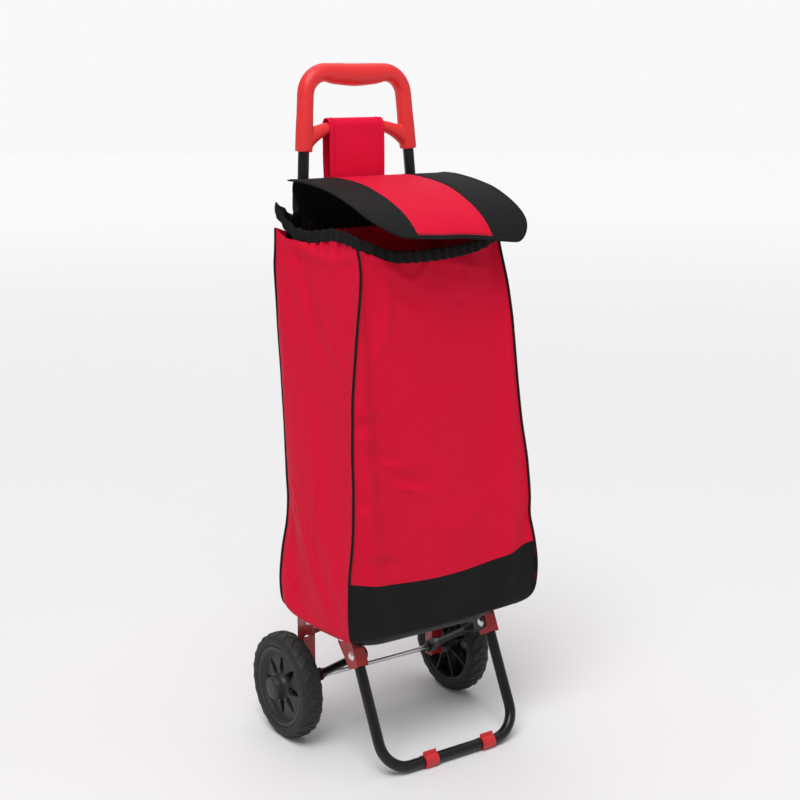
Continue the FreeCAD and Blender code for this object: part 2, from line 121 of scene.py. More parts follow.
def mottleGroup():
    # slow changes of tone, and of roughness with them
    group, given, out = newGroup(
        "mottle",
        [("Vector", "NodeSocketVector", None), ("Scale", "NodeSocketFloat", 8.0),
         ("Color", "NodeSocketColor", (0.5, 0.5, 0.5, 1)), ("Amount", "NodeSocketFloat", 0.1),
         ("Rough", "NodeSocketFloat", 0.5), ("Spread", "NodeSocketFloat", 0.08)],
        [("Color", "NodeSocketColor"), ("Roughness", "NodeSocketFloat"), ("Fac", "NodeSocketFloat")])
    cloud = addNode(group, "ShaderNodeTexNoise", Detail=5.0, Roughness=0.6)
    group.links.new(given["Vector"], cloud.inputs["Vector"])
    group.links.new(given["Scale"], cloud.inputs["Scale"])
    shift = mathNode(group, "SUBTRACT", cloud.outputs["Fac"], 0.5)
    value = mathNode(group, "ADD", 1.0, mathNode(group, "MULTIPLY", shift, given["Amount"]))
    tone = group.nodes.new("ShaderNodeHueSaturation")
    group.links.new(given["Color"], tone.inputs["Color"])
    group.links.new(value, tone.inputs["Value"])
    rough = mathNode(group, "ADD", given["Rough"], mathNode(group, "MULTIPLY", shift, given["Spread"]), True)
    group.links.new(tone.outputs["Color"], out["Color"])
    group.links.new(rough, out["Roughness"])
    group.links.new(cloud.outputs["Fac"], out["Fac"])
    return group


def scratchGroup():
    # fine scuffs in two directions, for paint and moulded plastic
    group, given, out = newGroup(
        "scuffs",
        [("Vector", "NodeSocketVector", None), ("Scale", "NodeSocketFloat", 60.0),
         ("Amount", "NodeSocketFloat", 0.5)],
        [("Mask", "NodeSocketFloat"), ("Height", "NodeSocketFloat")])
    streaks = []
    for stretch in ((1, 1, 0.06), (0.06, 1, 1)):
        mapping = addNode(group, "ShaderNodeMapping", Scale=stretch)
        group.links.new(given["Vector"], mapping.inputs["Vector"])
        streak = addNode(group, "ShaderNodeTexNoise", Detail=3.0, Roughness=0.7)
        group.links.new(mapping.outputs[0], streak.inputs["Vector"])
        group.links.new(given["Scale"], streak.inputs["Scale"])
        streaks.append(mathNode(group, "GREATER_THAN", streak.outputs["Fac"], 0.66))
    both = mathNode(group, "MAXIMUM", streaks[0], streaks[1])
    mask = mathNode(group, "MULTIPLY", both, given["Amount"])
    group.links.new(mask, out["Mask"])
    grit = addNode(group, "ShaderNodeTexNoise", Detail=4.0, Roughness=0.6)
    group.links.new(given["Vector"], grit.inputs["Vector"])
    group.links.new(mathNode(group, "MULTIPLY", given["Scale"], 6.0), grit.inputs["Scale"])
    group.links.new(mathNode(group, "SUBTRACT", grit.outputs["Fac"], mask), out["Height"])
    return group


weave = weaveGroup()
mottle = mottleGroup()
scuffs = scratchGroup()


def startMaterial(name, values):
    material = bpy.data.materials.new(name)
    material.use_nodes = True
    tree = material.node_tree
    shader = tree.nodes["Principled BSDF"]
    for key, value in values.items():
        shader.inputs[key].default_value = value
    coords = tree.nodes.new("ShaderNodeTexCoord")
    return material, tree, shader, coords


def placeGroup(tree, group, **values):
    node = tree.nodes.new("ShaderNodeGroup")
    node.node_tree = group
    for key, value in values.items():
        node.inputs[key].default_value = value
    return node


def bump(tree, height, strength, distance, normal=None):
    node = addNode(tree, "ShaderNodeBump", Strength=strength, Distance=distance)
    tree.links.new(height, node.inputs["Height"])
    if normal is not None:
        tree.links.new(normal, node.inputs["Normal"])
    return node.outputs["Normal"]


def clothMaterial(name, color, s):
    # woven polyester: threads with painted shade between them, soft creases, a little dust and sheen
    material, tree, shader, coords = startMaterial(name, {
        "Sheen Weight": s["sheen"], "Sheen Roughness": 0.45,
        "Sheen Tint": (*s["sheenTint"], 1), "Specular IOR Level": s["specular"]})
    tone = placeGroup(tree, mottle, Scale=s["cloudScale"], Color=(*color, 1), Amount=s["cloud"],
                      Rough=s["rough"], Spread=0.15)
    tree.links.new(coords.outputs["Object"], tone.inputs["Vector"])
    threads = placeGroup(tree, weave, Threads=s["threads"])
    tree.links.new(coords.outputs["UV"], threads.inputs["Vector"])
    # painted shade: the base colour is darkened along the lines between the threads
    gapShadeMix = tree.nodes.new("ShaderNodeMix")
    gapShadeMix.data_type = "RGBA"
    gapShadeMix.blend_type = "MULTIPLY"
    ramp = mathNode(tree, "ADD", mathNode(tree, "MULTIPLY", threads.outputs["GapShade"], s["gap"]), 1 - s["gap"])
    gray = tree.nodes.new("ShaderNodeCombineColor")
    for i in range(3):
        tree.links.new(ramp, gray.inputs[i])
    gapShadeMix.inputs[0].default_value = 1.0
    tree.links.new(tone.outputs["Color"], gapShadeMix.inputs[6])
    tree.links.new(gray.outputs[0], gapShadeMix.inputs[7])
    dust = addNode(tree, "ShaderNodeTexNoise", Scale=s["dustScale"], Detail=8.0, Roughness=0.75)
    tree.links.new(coords.outputs["Object"], dust.inputs["Vector"])
    specks = mathNode(tree, "MULTIPLY", mathNode(tree, "GREATER_THAN", dust.outputs["Fac"], 0.66), s["dust"])
    pale = tree.nodes.new("ShaderNodeMix")
    pale.data_type = "RGBA"
    tree.links.new(specks, pale.inputs[0])
    tree.links.new(gapShadeMix.outputs[2], pale.inputs[6])
    pale.inputs[7].default_value = (*s["dustColor"], 1)
    tree.links.new(pale.outputs[2], shader.inputs["Base Color"])
    tree.links.new(tone.outputs["Roughness"], shader.inputs["Roughness"])
    crease = addNode(tree, "ShaderNodeTexNoise", Scale=s["creaseScale"], Detail=6.0, Roughness=0.55,
                     Distortion=0.6)
    tree.links.new(coords.outputs["Object"], crease.inputs["Vector"])
    soft = bump(tree, crease.outputs["Fac"], s["crease"], 0.004)
    fine = bump(tree, threads.outputs["Height"], 0.35, 0.00025, soft)
    tree.links.new(fine, shader.inputs["Normal"])
    return material


def hardMaterial(name, color, s):
    # paint, plated metal and moulded plastic
    material, tree, shader, coords = startMaterial(name, {
        "Metallic": s.get("metal", 0.0), "Specular IOR Level": s.get("specular", 0.5),
        "Coat Weight": s.get("coat", 0.0), "Coat Roughness": s.get("coatRough", 0.1)})
    tone = placeGroup(tree, mottle, Scale=s.get("cloudScale", 14.0), Color=(*color, 1),
                      Amount=s.get("cloud", 0.15), Rough=s["rough"], Spread=s.get("spread", 0.12))
    tree.links.new(coords.outputs["Object"], tone.inputs["Vector"])
    marks = placeGroup(tree, scuffs, Scale=s.get("scuffScale", 55.0), Amount=s.get("scuff", 0.3))
    tree.links.new(coords.outputs["Object"], marks.inputs["Vector"])
    worn = tree.nodes.new("ShaderNodeMix")
    worn.data_type = "RGBA"
    tree.links.new(marks.outputs["Mask"], worn.inputs[0])
    tree.links.new(tone.outputs["Color"], worn.inputs[6])
    worn.inputs[7].default_value = (*s.get("wear", tuple(c * 1.5 for c in color)), 1)
    tree.links.new(worn.outputs[2], shader.inputs["Base Color"])
    rough = mathNode(tree, "ADD", tone.outputs["Roughness"],
                     mathNode(tree, "MULTIPLY", marks.outputs["Mask"], 0.25), True)
    tree.links.new(rough, shader.inputs["Roughness"])
    grain = bump(tree, marks.outputs["Height"], s.get("grain", 0.15), 0.0004)
    tree.links.new(grain, shader.inputs["Normal"])
    return material


# each cloth has its own amount of painted shade along the lines between its threads
clothSettings = {
    "red": {"sheen": 0.02, "sheenTint": (1.0, 0.35, 0.42), "specular": 0.13, "cloudScale": 9.0, "cloud": 0.10,
            "rough": 0.66, "threads": 1500.0, "gap": 0.10, "dustScale": 190.0, "dust": 0.05,
            "dustColor": (0.75, 0.25, 0.28), "creaseScale": 26.0, "crease": 0.07},
    "black": {"sheen": 0.012, "sheenTint": (0.8, 0.8, 0.82), "specular": 0.11, "cloudScale": 12.0, "cloud": 0.30,
              "rough": 0.68, "threads": 1500.0, "gap": 0.25, "dustScale": 230.0, "dust": 0.10,
              "dustColor": (0.08, 0.08, 0.08), "creaseScale": 30.0, "crease": 0.08},
}
redCloth = clothMaterial("redPolyester", (0.715, 0.0030, 0.035), clothSettings["red"])
# the strap is the same red polyester made lighter: painted light for the brighter light near the top
redStrapClothWithPaintedLight = clothMaterial("redStrapPolyesterWithPaintedLight", (0.84, 0.0045, 0.048), clothSettings["red"])
blackCloth = clothMaterial("blackPolyester", (0.0115, 0.0110, 0.0116), clothSettings["black"])
threadRed = hardMaterial("redThread", (0.50, 0.006, 0.028), {"rough": 0.7, "grain": 0.4, "scuff": 0.0, "specular": 0.15})
threadBlack = hardMaterial("blackThread", (0.018, 0.018, 0.018), {"rough": 0.7, "grain": 0.4, "scuff": 0.0, "specular": 0.2})
# the handle's red plastic made lighter than its own colour: partly the plastic's red, partly painted light for the
# brighter light near the top
redPlasticWithPaintedLight = hardMaterial("redPolypropyleneWithPaintedLight", (0.78, 0.028, 0.031), {
    "rough": 0.40, "specular": 0.40, "cloud": 0.08, "scuff": 0.10, "grain": 0.12, "wear": (0.72, 0.07, 0.07)})
clipPlastic = hardMaterial("redClipPlastic", (0.58, 0.022, 0.024), {
    "rough": 0.38, "specular": 0.45, "cloud": 0.10, "scuff": 0.2, "grain": 0.1, "wear": (0.66, 0.10, 0.09)})
redPaint = hardMaterial("redPaint", (0.40, 0.011, 0.013), {
    "rough": 0.33, "specular": 0.45, "coat": 0.25, "cloud": 0.12, "scuff": 0.2, "grain": 0.10,
    "wear": (0.28, 0.04, 0.04)})
blackPaint = hardMaterial("blackPowderCoat", (0.0060, 0.0060, 0.0065), {
    "rough": 0.30, "specular": 0.28, "coat": 0.16, "coatRough": 0.12, "cloud": 0.2, "scuff": 0.16,
    "grain": 0.10, "wear": (0.025, 0.025, 0.026)})
zinc = hardMaterial("brightZinc", (0.70, 0.705, 0.71), {
    "metal": 1.0, "rough": 0.24, "cloud": 0.2, "scuff": 0.3, "scuffScale": 90.0, "grain": 0.12,
    "wear": (0.5, 0.5, 0.5)})
wheelPlastic = hardMaterial("wheelPlastic", (0.022, 0.022, 0.023), {
    "rough": 0.46, "specular": 0.38, "cloud": 0.35, "scuff": 0.3, "grain": 0.25, "wear": (0.055, 0.055, 0.055)})
tyreRubber = hardMaterial("tyreRubber", (0.019, 0.019, 0.0195), {
    "rough": 0.62, "specular": 0.32, "cloud": 0.5, "scuff": 0.4, "scuffScale": 35.0, "grain": 0.5,
    "wear": (0.05, 0.049, 0.046)})
board = hardMaterial("fibreBoard", (0.020, 0.018, 0.016), {"rough": 0.8, "cloud": 0.5, "grain": 0.5})
print("materials made")


# tools
def clearSelection():
    if bpy.context.mode != "OBJECT":
        bpy.ops.object.mode_set(mode="OBJECT")
    bpy.ops.object.select_all(action="DESELECT")


def pickOnly(piece):
    clearSelection()
    piece.select_set(True)
    bpy.context.view_layer.objects.active = piece


def settle(piece):
    # the finished object stands at the origin, with its place in its mesh
    pickOnly(piece)
    bpy.ops.object.transform_apply(location=True, rotation=True, scale=True)


def smooth(piece, degrees=38):
    pickOnly(piece)
    bpy.ops.object.shade_smooth_by_angle(angle=math.radians(degrees))


def applyModifier(piece, kind, **values):
    pickOnly(piece)
    modifier = piece.modifiers.new(kind.lower(), kind)
    for key, value in values.items():
        setattr(modifier, key, value)
    bpy.ops.object.modifier_apply(modifier=modifier.name)


def dress(piece, material, body, slotName, *cadNodes):
    piece.data.transform(Matrix.Translation((0, axleY, 0)))
    piece.data.materials.clear()
    piece.data.materials.append(material)
    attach(piece, body)
    if cadNodes:
        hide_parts(*cadNodes)
    return piece


def selectWhere(piece, test, kind="VERT"):
    # picks by place, in edit mode
    bpy.ops.object.mode_set(mode="OBJECT")
    for group in (piece.data.vertices, piece.data.edges, piece.data.polygons):
        group.foreach_set("select", [False] * len(group))
    parts = {"VERT": piece.data.vertices, "FACE": piece.data.polygons}[kind]
    for part in parts:
        part.select = bool(test(part))
    bpy.ops.object.mode_set(mode="EDIT")
    bpy.ops.mesh.select_mode(type=kind)


def joinAll(pieces, name):
    clearSelection()
    for piece in pieces:
        piece.select_set(True)
    bpy.context.view_layer.objects.active = pieces[0]
    bpy.ops.object.join()
    piece = bpy.context.object
    piece.name = name
    return piece


def copyOf(piece, name):
    twin = piece.copy()
    twin.data = piece.data.copy()
    twin.name = name
    bpy.context.scene.collection.objects.link(twin)
    return twin


def mirrored(piece, name):
    # the right-hand one of a pair, with its faces turned outwards again
    twin = copyOf(piece, name)
    pickOnly(twin)
    bpy.ops.transform.resize(value=(-1, 1, 1), center_override=(0, 0, 0))
    bpy.ops.object.transform_apply(location=True, rotation=True, scale=True)
    bpy.ops.object.mode_set(mode="EDIT")
    bpy.ops.mesh.select_all(action="SELECT")
    bpy.ops.mesh.normals_make_consistent(inside=False)
    bpy.ops.object.mode_set(mode="OBJECT")
    return twin


def turned(name, outline, centre, steps=64, closed=True):
    # an outline of (x, radius) points spun about an axis along X
    clearSelection()
    x0, r0 = outline[0]
    bpy.ops.mesh.primitive_plane_add(size=0.001, location=(centre[0] + x0, centre[1], centre[2] + r0))
    piece = bpy.context.object
    piece.name = name
    bpy.ops.object.transform_apply(location=True, rotation=True, scale=True)
    bpy.ops.object.mode_set(mode="EDIT")
    bpy.ops.mesh.select_mode(type="VERT")
    bpy.ops.mesh.select_all(action="SELECT")
    bpy.ops.mesh.merge(type="CENTER")
    for (xa, ra), (xb, rb) in zip(outline, outline[1:]):
        bpy.ops.mesh.extrude_vertices_move(TRANSFORM_OT_translate={"value": (xb - xa, 0, rb - ra)})
    bpy.ops.mesh.select_all(action="SELECT")
    if closed:
        bpy.ops.mesh.edge_face_add()
        bpy.ops.mesh.delete(type="ONLY_FACE")
        bpy.ops.mesh.select_all(action="SELECT")
    bpy.ops.mesh.spin(steps=steps, angle=2 * math.pi, center=centre, axis=(1, 0, 0))
    bpy.ops.mesh.select_all(action="SELECT")
    bpy.ops.mesh.remove_doubles(threshold=0.00002)
    bpy.ops.mesh.normals_make_consistent(inside=False)
    bpy.ops.object.mode_set(mode="OBJECT")
    return piece


def spunCopies(piece, count, centre, name, offset=0.0):
    copies = []
    for i in range(count):
        twin = copyOf(piece, name + str(i))
        turn = Matrix.Rotation(offset + 2 * math.pi * i / count, 4, "X")
        twin.data.transform(Matrix.Translation(centre) @ turn @ Matrix.Translation(-Vector(centre)))
        copies.append(twin)
    return copies


def clothSheet(name, points, closeRound=False, uvs=None):
    # a sheet of cloth from rows of points, with its flat lengths as its map
    rows, cols = points.shape[:2]
    verts = points.reshape(-1, 3)
    across = cols if closeRound else cols - 1
    faces = []
    for r in range(rows - 1):
        for c in range(across):
            d = (c + 1) % cols
            faces.append((r * cols + c, r * cols + d, (r + 1) * cols + d, (r + 1) * cols + c))
    mesh = bpy.data.meshes.new(name)
    mesh.from_pydata([tuple(map(float, p)) for p in verts], [], faces)
    layer = mesh.uv_layers.new(name="flat")
    if uvs is None:
        along = np.linalg.norm(np.diff(points, axis=1), axis=2)
        down = np.linalg.norm(np.diff(points, axis=0), axis=2)
        u = np.concatenate([[0], np.cumsum(along.mean(axis=0))])
        v = np.concatenate([[0], np.cumsum(down.mean(axis=1))])
        if closeRound:
            u = np.append(u, u[-1] + np.linalg.norm(points[:, 0] - points[:, -1], axis=1).mean())
        uvs = (u, v)
    u, v = uvs
    flat = []
    for r in range(rows - 1):
        for c in range(across):
            flat += [u[c], v[r], u[c + 1], v[r], u[c + 1], v[r + 1], u[c], v[r + 1]]
    layer.data.foreach_set("uv", flat)
    mesh.update()
    piece = bpy.data.objects.new(name, mesh)
    bpy.context.scene.collection.objects.link(piece)
    return piece


def sweptTube(name, path, width, depth, sides=10, normals=None, closeRound=False, capped=True):
    # a soft cord or edge tape that follows points; width lies in the cloth, depth stands off it
    path = np.asarray(path, float)
    n = len(path)
    if closeRound:
        ahead = np.roll(path, -1, axis=0) - np.roll(path, 1, axis=0)
    else:
        ahead = np.gradient(path, axis=0)
    ahead /= np.linalg.norm(ahead, axis=1)[:, None]
    if normals is None:
        normals = np.tile(np.array([0.0, -1.0, 0.0]), (n, 1))
    side = np.cross(ahead, normals)
    side /= np.linalg.norm(side, axis=1)[:, None]
    up = np.cross(side, ahead)
    angles = np.linspace(0, 2 * math.pi, sides, endpoint=False)
    w = np.broadcast_to(np.asarray(width, float), (n,))[:, None, None]
    d = np.broadcast_to(np.asarray(depth, float), (n,))[:, None, None]
    rings = (path[:, None, :] + w / 2 * np.cos(angles)[None, :, None] * side[:, None, :]
             + d / 2 * np.sin(angles)[None, :, None] * up[:, None, :])
    if closeRound:
        rings = np.concatenate([rings, rings[:1]], axis=0)
    piece = clothSheet(name, rings, closeRound=True)
    pickOnly(piece)
    bpy.ops.object.mode_set(mode="EDIT")
    bpy.ops.mesh.select_mode(type="VERT")
    bpy.ops.mesh.select_all(action="SELECT")
    bpy.ops.mesh.remove_doubles(threshold=0.000005)
    if capped and not closeRound:
        bpy.ops.mesh.select_all(action="DESELECT")
        bpy.ops.mesh.select_non_manifold(extend=False, use_boundary=True, use_wire=False,
                                         use_multi_face=False, use_non_contiguous=False, use_verts=False)
        bpy.ops.mesh.fill_holes(sides=0)
        bpy.ops.mesh.select_all(action="SELECT")
    bpy.ops.mesh.normals_make_consistent(inside=False)
    bpy.ops.object.mode_set(mode="OBJECT")
    smooth(piece, 50)
    return piece


def smoothLine(points, times=2, closed=False):
    p = np.asarray(points, float).copy()
    for _ in range(times):
        if closed:
            p = 0.25 * np.roll(p, 1, axis=0) + 0.5 * p + 0.25 * np.roll(p, -1, axis=0)
        else:
            p[1:-1] = 0.25 * p[:-2] + 0.5 * p[1:-1] + 0.25 * p[2:]
    return p


def resampled(points, spacing, closed=False):
    p = np.asarray(points, float)
    if closed:
        p = np.vstack([p, p[:1]])
    run = np.concatenate([[0], np.cumsum(np.linalg.norm(np.diff(p, axis=0), axis=1))])
    count = max(3, int(round(run[-1] / spacing)) + 1)
    at = np.linspace(0, run[-1], count)
    q = np.stack([np.interp(at, run, p[:, i]) for i in range(3)], axis=1)
    return q[:-1] if closed else q


def stitches(name, path, normals, s):
    # one thread loop, copied along a line
    clearSelection()
    bpy.ops.mesh.primitive_cylinder_add(vertices=6, radius=s["thread"], depth=s["length"] * 0.55,
                                        location=(0, 0, 0), rotation=(0, math.pi / 2, 0))
    one = bpy.context.object
    bpy.ops.object.transform_apply(location=True, rotation=True, scale=True)
    bpy.ops.object.mode_set(mode="EDIT")
    selectWhere(one, lambda f: abs(f.normal.x) > 0.9, "FACE")
    bpy.ops.mesh.extrude_region_shrink_fatten(TRANSFORM_OT_shrink_fatten={"value": s["length"] * 0.12})
    bpy.ops.transform.resize(value=(1, 0.35, 0.35))
    bpy.ops.transform.translate(value=(0, 0, -s["thread"] * 0.9))
    bpy.ops.object.mode_set(mode="OBJECT")
    base = np.array([v.co[:] for v in one.data.vertices])
    faces = [tuple(f.vertices) for f in one.data.polygons]
    bpy.data.objects.remove(one)
    points = resampled(path, s["length"])
    run = np.linalg.norm(np.asarray(path)[1:] - np.asarray(path)[:-1], axis=1)
    at = np.concatenate([[0], np.cumsum(run)])
    marks = np.linspace(0, at[-1], len(points))
    ups = np.stack([np.interp(marks, at, np.asarray(normals)[:, i]) for i in range(3)], axis=1)
    ahead = np.gradient(points, axis=0)
    verts, polys = [], []
    for i in range(len(points)):
        a = ahead[i] / np.linalg.norm(ahead[i])
        u = ups[i] - a * (ups[i] @ a)
        u /= np.linalg.norm(u)
        b = np.cross(u, a)
        start = len(verts)
        moved = points[i] + base[:, :1] * a + base[:, 1:2] * b + (base[:, 2:] + s["lift"]) * u
        verts += [tuple(p) for p in moved]
        polys += [tuple(start + v for v in f) for f in faces]
    mesh = bpy.data.meshes.new(name)
    mesh.from_pydata(verts, [], polys)
    mesh.update()
    piece = bpy.data.objects.new(name, mesh)
    bpy.context.scene.collection.objects.link(piece)
    smooth(piece, 60)
    return piece


# bag
bagSizes = {
    # height, front y, then the four corners: front left, front right, rear left and rear right
    "levels": [(0.1925, -0.160, 0.138, 0.148, 0.135, 0.136), (0.199, -0.173, 0.151, 0.162, 0.156, 0.152),
               (0.214, -0.181, 0.159, 0.172, 0.167, 0.164), (0.250, -0.184, 0.162, 0.178, 0.168, 0.170),
               (0.295, -0.183, 0.160, 0.173, 0.162, 0.164), (0.330, -0.183, 0.157, 0.166, 0.154, 0.158),
               (0.370, -0.182, 0.154, 0.165, 0.150, 0.156), (0.424, -0.180, 0.152, 0.160, 0.149, 0.154),
               (0.478, -0.178, 0.153, 0.151, 0.151, 0.152), (0.540, -0.176, 0.151, 0.142, 0.152, 0.149),
               (0.628, -0.174, 0.143, 0.133, 0.154, 0.148), (0.690, -0.171, 0.135, 0.123, 0.156, 0.148),
               (0.722, -0.166, 0.130, 0.117, 0.157, 0.147), (0.745, -0.156, 0.126, 0.112, 0.156, 0.144)],
    "rowGap": 0.0076, "frontColumns": 40, "sideColumns": 22, "backColumns": 34,
    "cornerStand": 0.006, "middleStand": 0.0125,  # how far the rear stands off the uprights
    "seamLow": 0.271, "seamRise": 0.020,  # the black band's upper edge, lower in the middle
    "frames": 34, "seed": 7,
    "gatherTop": 0.06, "gatherFade": 0.15, "fullness": 0.008, "bottomSlack": 0.030, "tallSlack": 0.016,
    "bulgeRight": 0.019, "bulgeLeft": 0.0025, "wrap": 0.007, "drawnIn": 0.010,  # how the side panels round the corners
    "ripple": 0.0034, "pressure": 0.6, "moveLimit": 0.013, "cloth": 0.0012,
}
mouthSizes = {
    # heights of the hem's lower edge along the left side (y, z), then across the front (x, z)
    "side": [(0.022, 0.765), (0.000, 0.748), (-0.033, 0.744), (-0.065, 0.743), (-0.100, 0.752),
             (-0.130, 0.748), (-0.166, 0.744)],
    "front": [(-0.132, 0.745), (-0.112, 0.737), (-0.090, 0.727), (-0.070, 0.721), (-0.035, 0.7195), (0.0, 0.720),
              (0.035, 0.7225), (0.070, 0.727), (0.095, 0.734), (0.115, 0.744)],
}


def ringAt(level):
    # points round the bag at one height, starting at the front left seam
    s = bagSizes
    table = np.array(s["levels"])
    front, frontLeft, frontRight, rearLeft, rearRight = [np.interp(level, table[:, 0], table[:, k]) for k in range(1, 6)]
    rear = uprightY(level) - s["cornerStand"]
    f, d, b = s["frontColumns"], s["sideColumns"], s["backColumns"]
    points = []
    for i in range(f):
        t = i / f
        points.append((-frontLeft + (frontLeft + frontRight) * t, front - 0.003 * math.sin(math.pi * t), level))
    high = s["levels"][-1][0]
    loose = np.interp(level, (0.26, 0.34, 0.45, 0.66, high), (0.0, 0.3, 1.0, 0.9, 0.45))
    wrap = s["wrap"]
    for i in range(d):
        t = i / d
        x = frontRight + (rearRight - frontRight) * t + s["bulgeRight"] * loose * math.sin(math.pi * t ** 0.5) * (1 - 0.55 * t)
        x -= wrap * max(0.0, (t - 0.86) / 0.14) ** 2
        points.append((x, front + (rear - front) * t, level))
    for i in range(b):
        t = i / b
        x = (rearRight - wrap) * (1 - t) - (rearLeft - wrap) * t
        inward = min(1.0, max(0.0, (0.144 - abs(x)) / 0.022))
        inward = inward * inward * (3 - 2 * inward)
        points.append((x, rear + (uprightY(level) - s["middleStand"] - rear) * inward, level))
    for i in range(d):
        t = 1 - i / d
        x = frontLeft + (rearLeft - frontLeft) * t + s["bulgeLeft"] * math.sin(math.pi * t)
        x -= s["drawnIn"] * math.sin(math.pi * t) * max(0.0, (level - 0.69) / 0.055) ** 1.6
        x -= wrap * max(0.0, (t - 0.86) / 0.14) ** 2
        points.append((-x, front + (rear - front) * t, level))
    return np.array(points)


def mouthHeight(ring):
    side = np.array(mouthSizes["side"])[::-1]
    front = np.array(mouthSizes["front"])
    f, d, b = bagSizes["frontColumns"], bagSizes["sideColumns"], bagSizes["backColumns"]
    z = np.empty(len(ring))
    onSide = np.interp(ring[:, 1], side[:, 0], side[:, 1])
    onFront = np.interp(ring[:, 0], front[:, 0], front[:, 1])
    column = np.arange(len(ring))
    z[:] = np.where(column < f, onFront, onSide)
    rear = (column >= f + d) & (column < f + d + b)
    z[rear] = 0.752
    for _ in range(2):
        z = 0.25 * np.roll(z, 1) + 0.5 * z + 0.25 * np.roll(z, -1)
    return z


def bagStart():
    s = bagSizes
    low, high = s["levels"][0][0], s["levels"][-1][0]
    rows = int(round((high - low) / s["rowGap"])) + 1
    heights = np.linspace(low, high, rows)
    # more rows where the lower corners turn in
    heights = low + (high - low) * (np.linspace(0, 1, rows) ** 1.06)
    grid = np.array([ringAt(z) for z in heights])
    # the rows near the band follow its sewn edge
    f = s["frontColumns"]
    bandRow = int(np.argmin(np.abs(heights - 0.283)))
    for r in range(rows):
        pull = math.exp(-((heights[r] - heights[bandRow]) / 0.045) ** 2)
        x = np.clip(grid[r, :, 0] / 0.162, -1, 1)
        onFront = np.zeros(len(x))
        onFront[:f + 1] = 1.0
        lift = s["seamLow"] - heights[bandRow] + s["seamRise"] * np.abs(x) ** 2.2
        edge = s["seamLow"] + s["seamRise"] - heights[bandRow]
        along = np.arange(len(x))
        total = len(x)
        away = np.minimum(np.abs(along - f), np.minimum(np.abs(along - total), along + 0.0))
        away = np.where(onFront > 0, 0, away) / 11.0
        fade = np.clip(1 - away, 0, 1)
        grid[r, :, 2] += pull * np.where(onFront > 0, lift, edge * fade)
    # the upper rows follow the drooping mouth
    mouth = mouthHeight(grid[-1])
    for r in range(rows):
        t = max(0.0, (heights[r] - 0.56) / (high - 0.56))
        grid[r, :, 2] += (mouth - high) * t ** 1.6
    return grid, heights, bandRow


def bagRest(grid, heights):
    # the cloth as it was cut: fuller at the gathered mouth and near the bottom
    s = bagSizes
    high = s["levels"][-1][0]
    rest = grid.copy()
    centre = np.array([0.0, -0.083])
    for r, z in enumerate(heights):
        near = max(0.0, 1 - (high - z) / s["gatherFade"])
        grow = 1 + s["fullness"] + s["gatherTop"] * near ** 1.4 + s["bottomSlack"] * max(0.0, 1 - (z - 0.19) / 0.10)
        rest[r, :, :2] = centre + (grid[r, :, :2] - centre) * grow
        rest[r, :, 2] = heights[0] + (grid[r, :, 2] - heights[0]) * (1 + s["tallSlack"])
    return rest


def simulateBag(grid, heights):
    s = bagSizes
    rows, cols = grid.shape[:2]
    start = grid.copy()
    noise.seed_set(s["seed"])
    for r in range(1, rows - 1):
        t = r / (rows - 1)
        for c in range(cols):
            p = start[r, c]
            # broad slack low down, narrower pleats under the gathered mouth
            n = noise.noise(Vector((p[0] * 13, p[1] * 13, p[2] * 10)))
            m = noise.noise(Vector((p[0] * 46 + 5, p[1] * 46, p[2] * 7)))
            out = Vector((p[0], p[1] + 0.083, 0)).normalized()
            push = n * s["ripple"] * math.sin(math.pi * min(1, t * 1.2)) + m * s["ripple"] * 0.9 * max(0.0, (t - 0.62) / 0.38)
            start[r, c, :2] += np.array(out[:2]) * push
    shell = clothSheet("bagShell", start, closeRound=True)
    shell.shape_key_add(name="Basis")
    key = shell.shape_key_add(name="cut")
    rest = bagRest(grid, heights).reshape(-1, 3)
    key.data.foreach_set("co", rest.ravel())
    key.value = 0.0
    pins = shell.vertex_groups.new(name="pins")
    edge = list(range(cols)) + list(range((rows - 1) * cols, rows * cols))
    pins.add(edge, 1.0, "REPLACE")
    # the seams are stiff with piping, so they hold most of their line
    f, d, b = s["frontColumns"], s["sideColumns"], s["backColumns"]
    seamColumns = (0, f, f + d, f + d + b)
    held = [r * cols + c for r in range(1, rows - 1) for c in seamColumns]
    pins.add(held, 0.06, "REPLACE")
    pickOnly(shell)
    modifier = shell.modifiers.new("cloth", "CLOTH")
    cloth = modifier.settings
    cloth.quality = 7
    cloth.mass = 0.16
    cloth.tension_stiffness = 30
    cloth.compression_stiffness = 24
    cloth.shear_stiffness = 8
    cloth.bending_stiffness = 0.15
    cloth.tension_damping = 8
    cloth.compression_damping = 8
    cloth.shear_damping = 5
    cloth.bending_damping = 0.5
    cloth.air_damping = 1.6
    cloth.vertex_group_mass = "pins"
    cloth.pin_stiffness = 1.0
    cloth.rest_shape_key = key
    cloth.use_pressure = True
    cloth.uniform_pressure_force = s["pressure"]
    cloth.effector_weights.gravity = 0.6
    modifier.collision_settings.use_collision = False
    modifier.collision_settings.use_self_collision = False
    for frameNumber in range(1, s["frames"] + 1):
        bpy.context.scene.frame_set(frameNumber)
    solved = shell.evaluated_get(bpy.context.evaluated_depsgraph_get())
    moved = np.empty(rows * cols * 3)
    solved.data.vertices.foreach_get("co", moved)
    moved = moved.reshape(rows, cols, 3)
    bpy.data.objects.remove(shell)
    bpy.context.scene.frame_set(1)
    if not np.isfinite(moved).all():
        print("bag: the simulation failed, so its start shape is used")
        return grid
    shift = moved - grid
    far = np.linalg.norm(shift, axis=2)
    allowed = s["moveLimit"] * np.tanh(far / s["moveLimit"])
    moved = grid + shift * (allowed / np.maximum(far, 1e-9))[:, :, None]
    print("bag: moved by", round(float(far.mean()) * 1000, 1), "mm on average,", round(float(far.max()) * 1000, 1), "at most")
    return moved


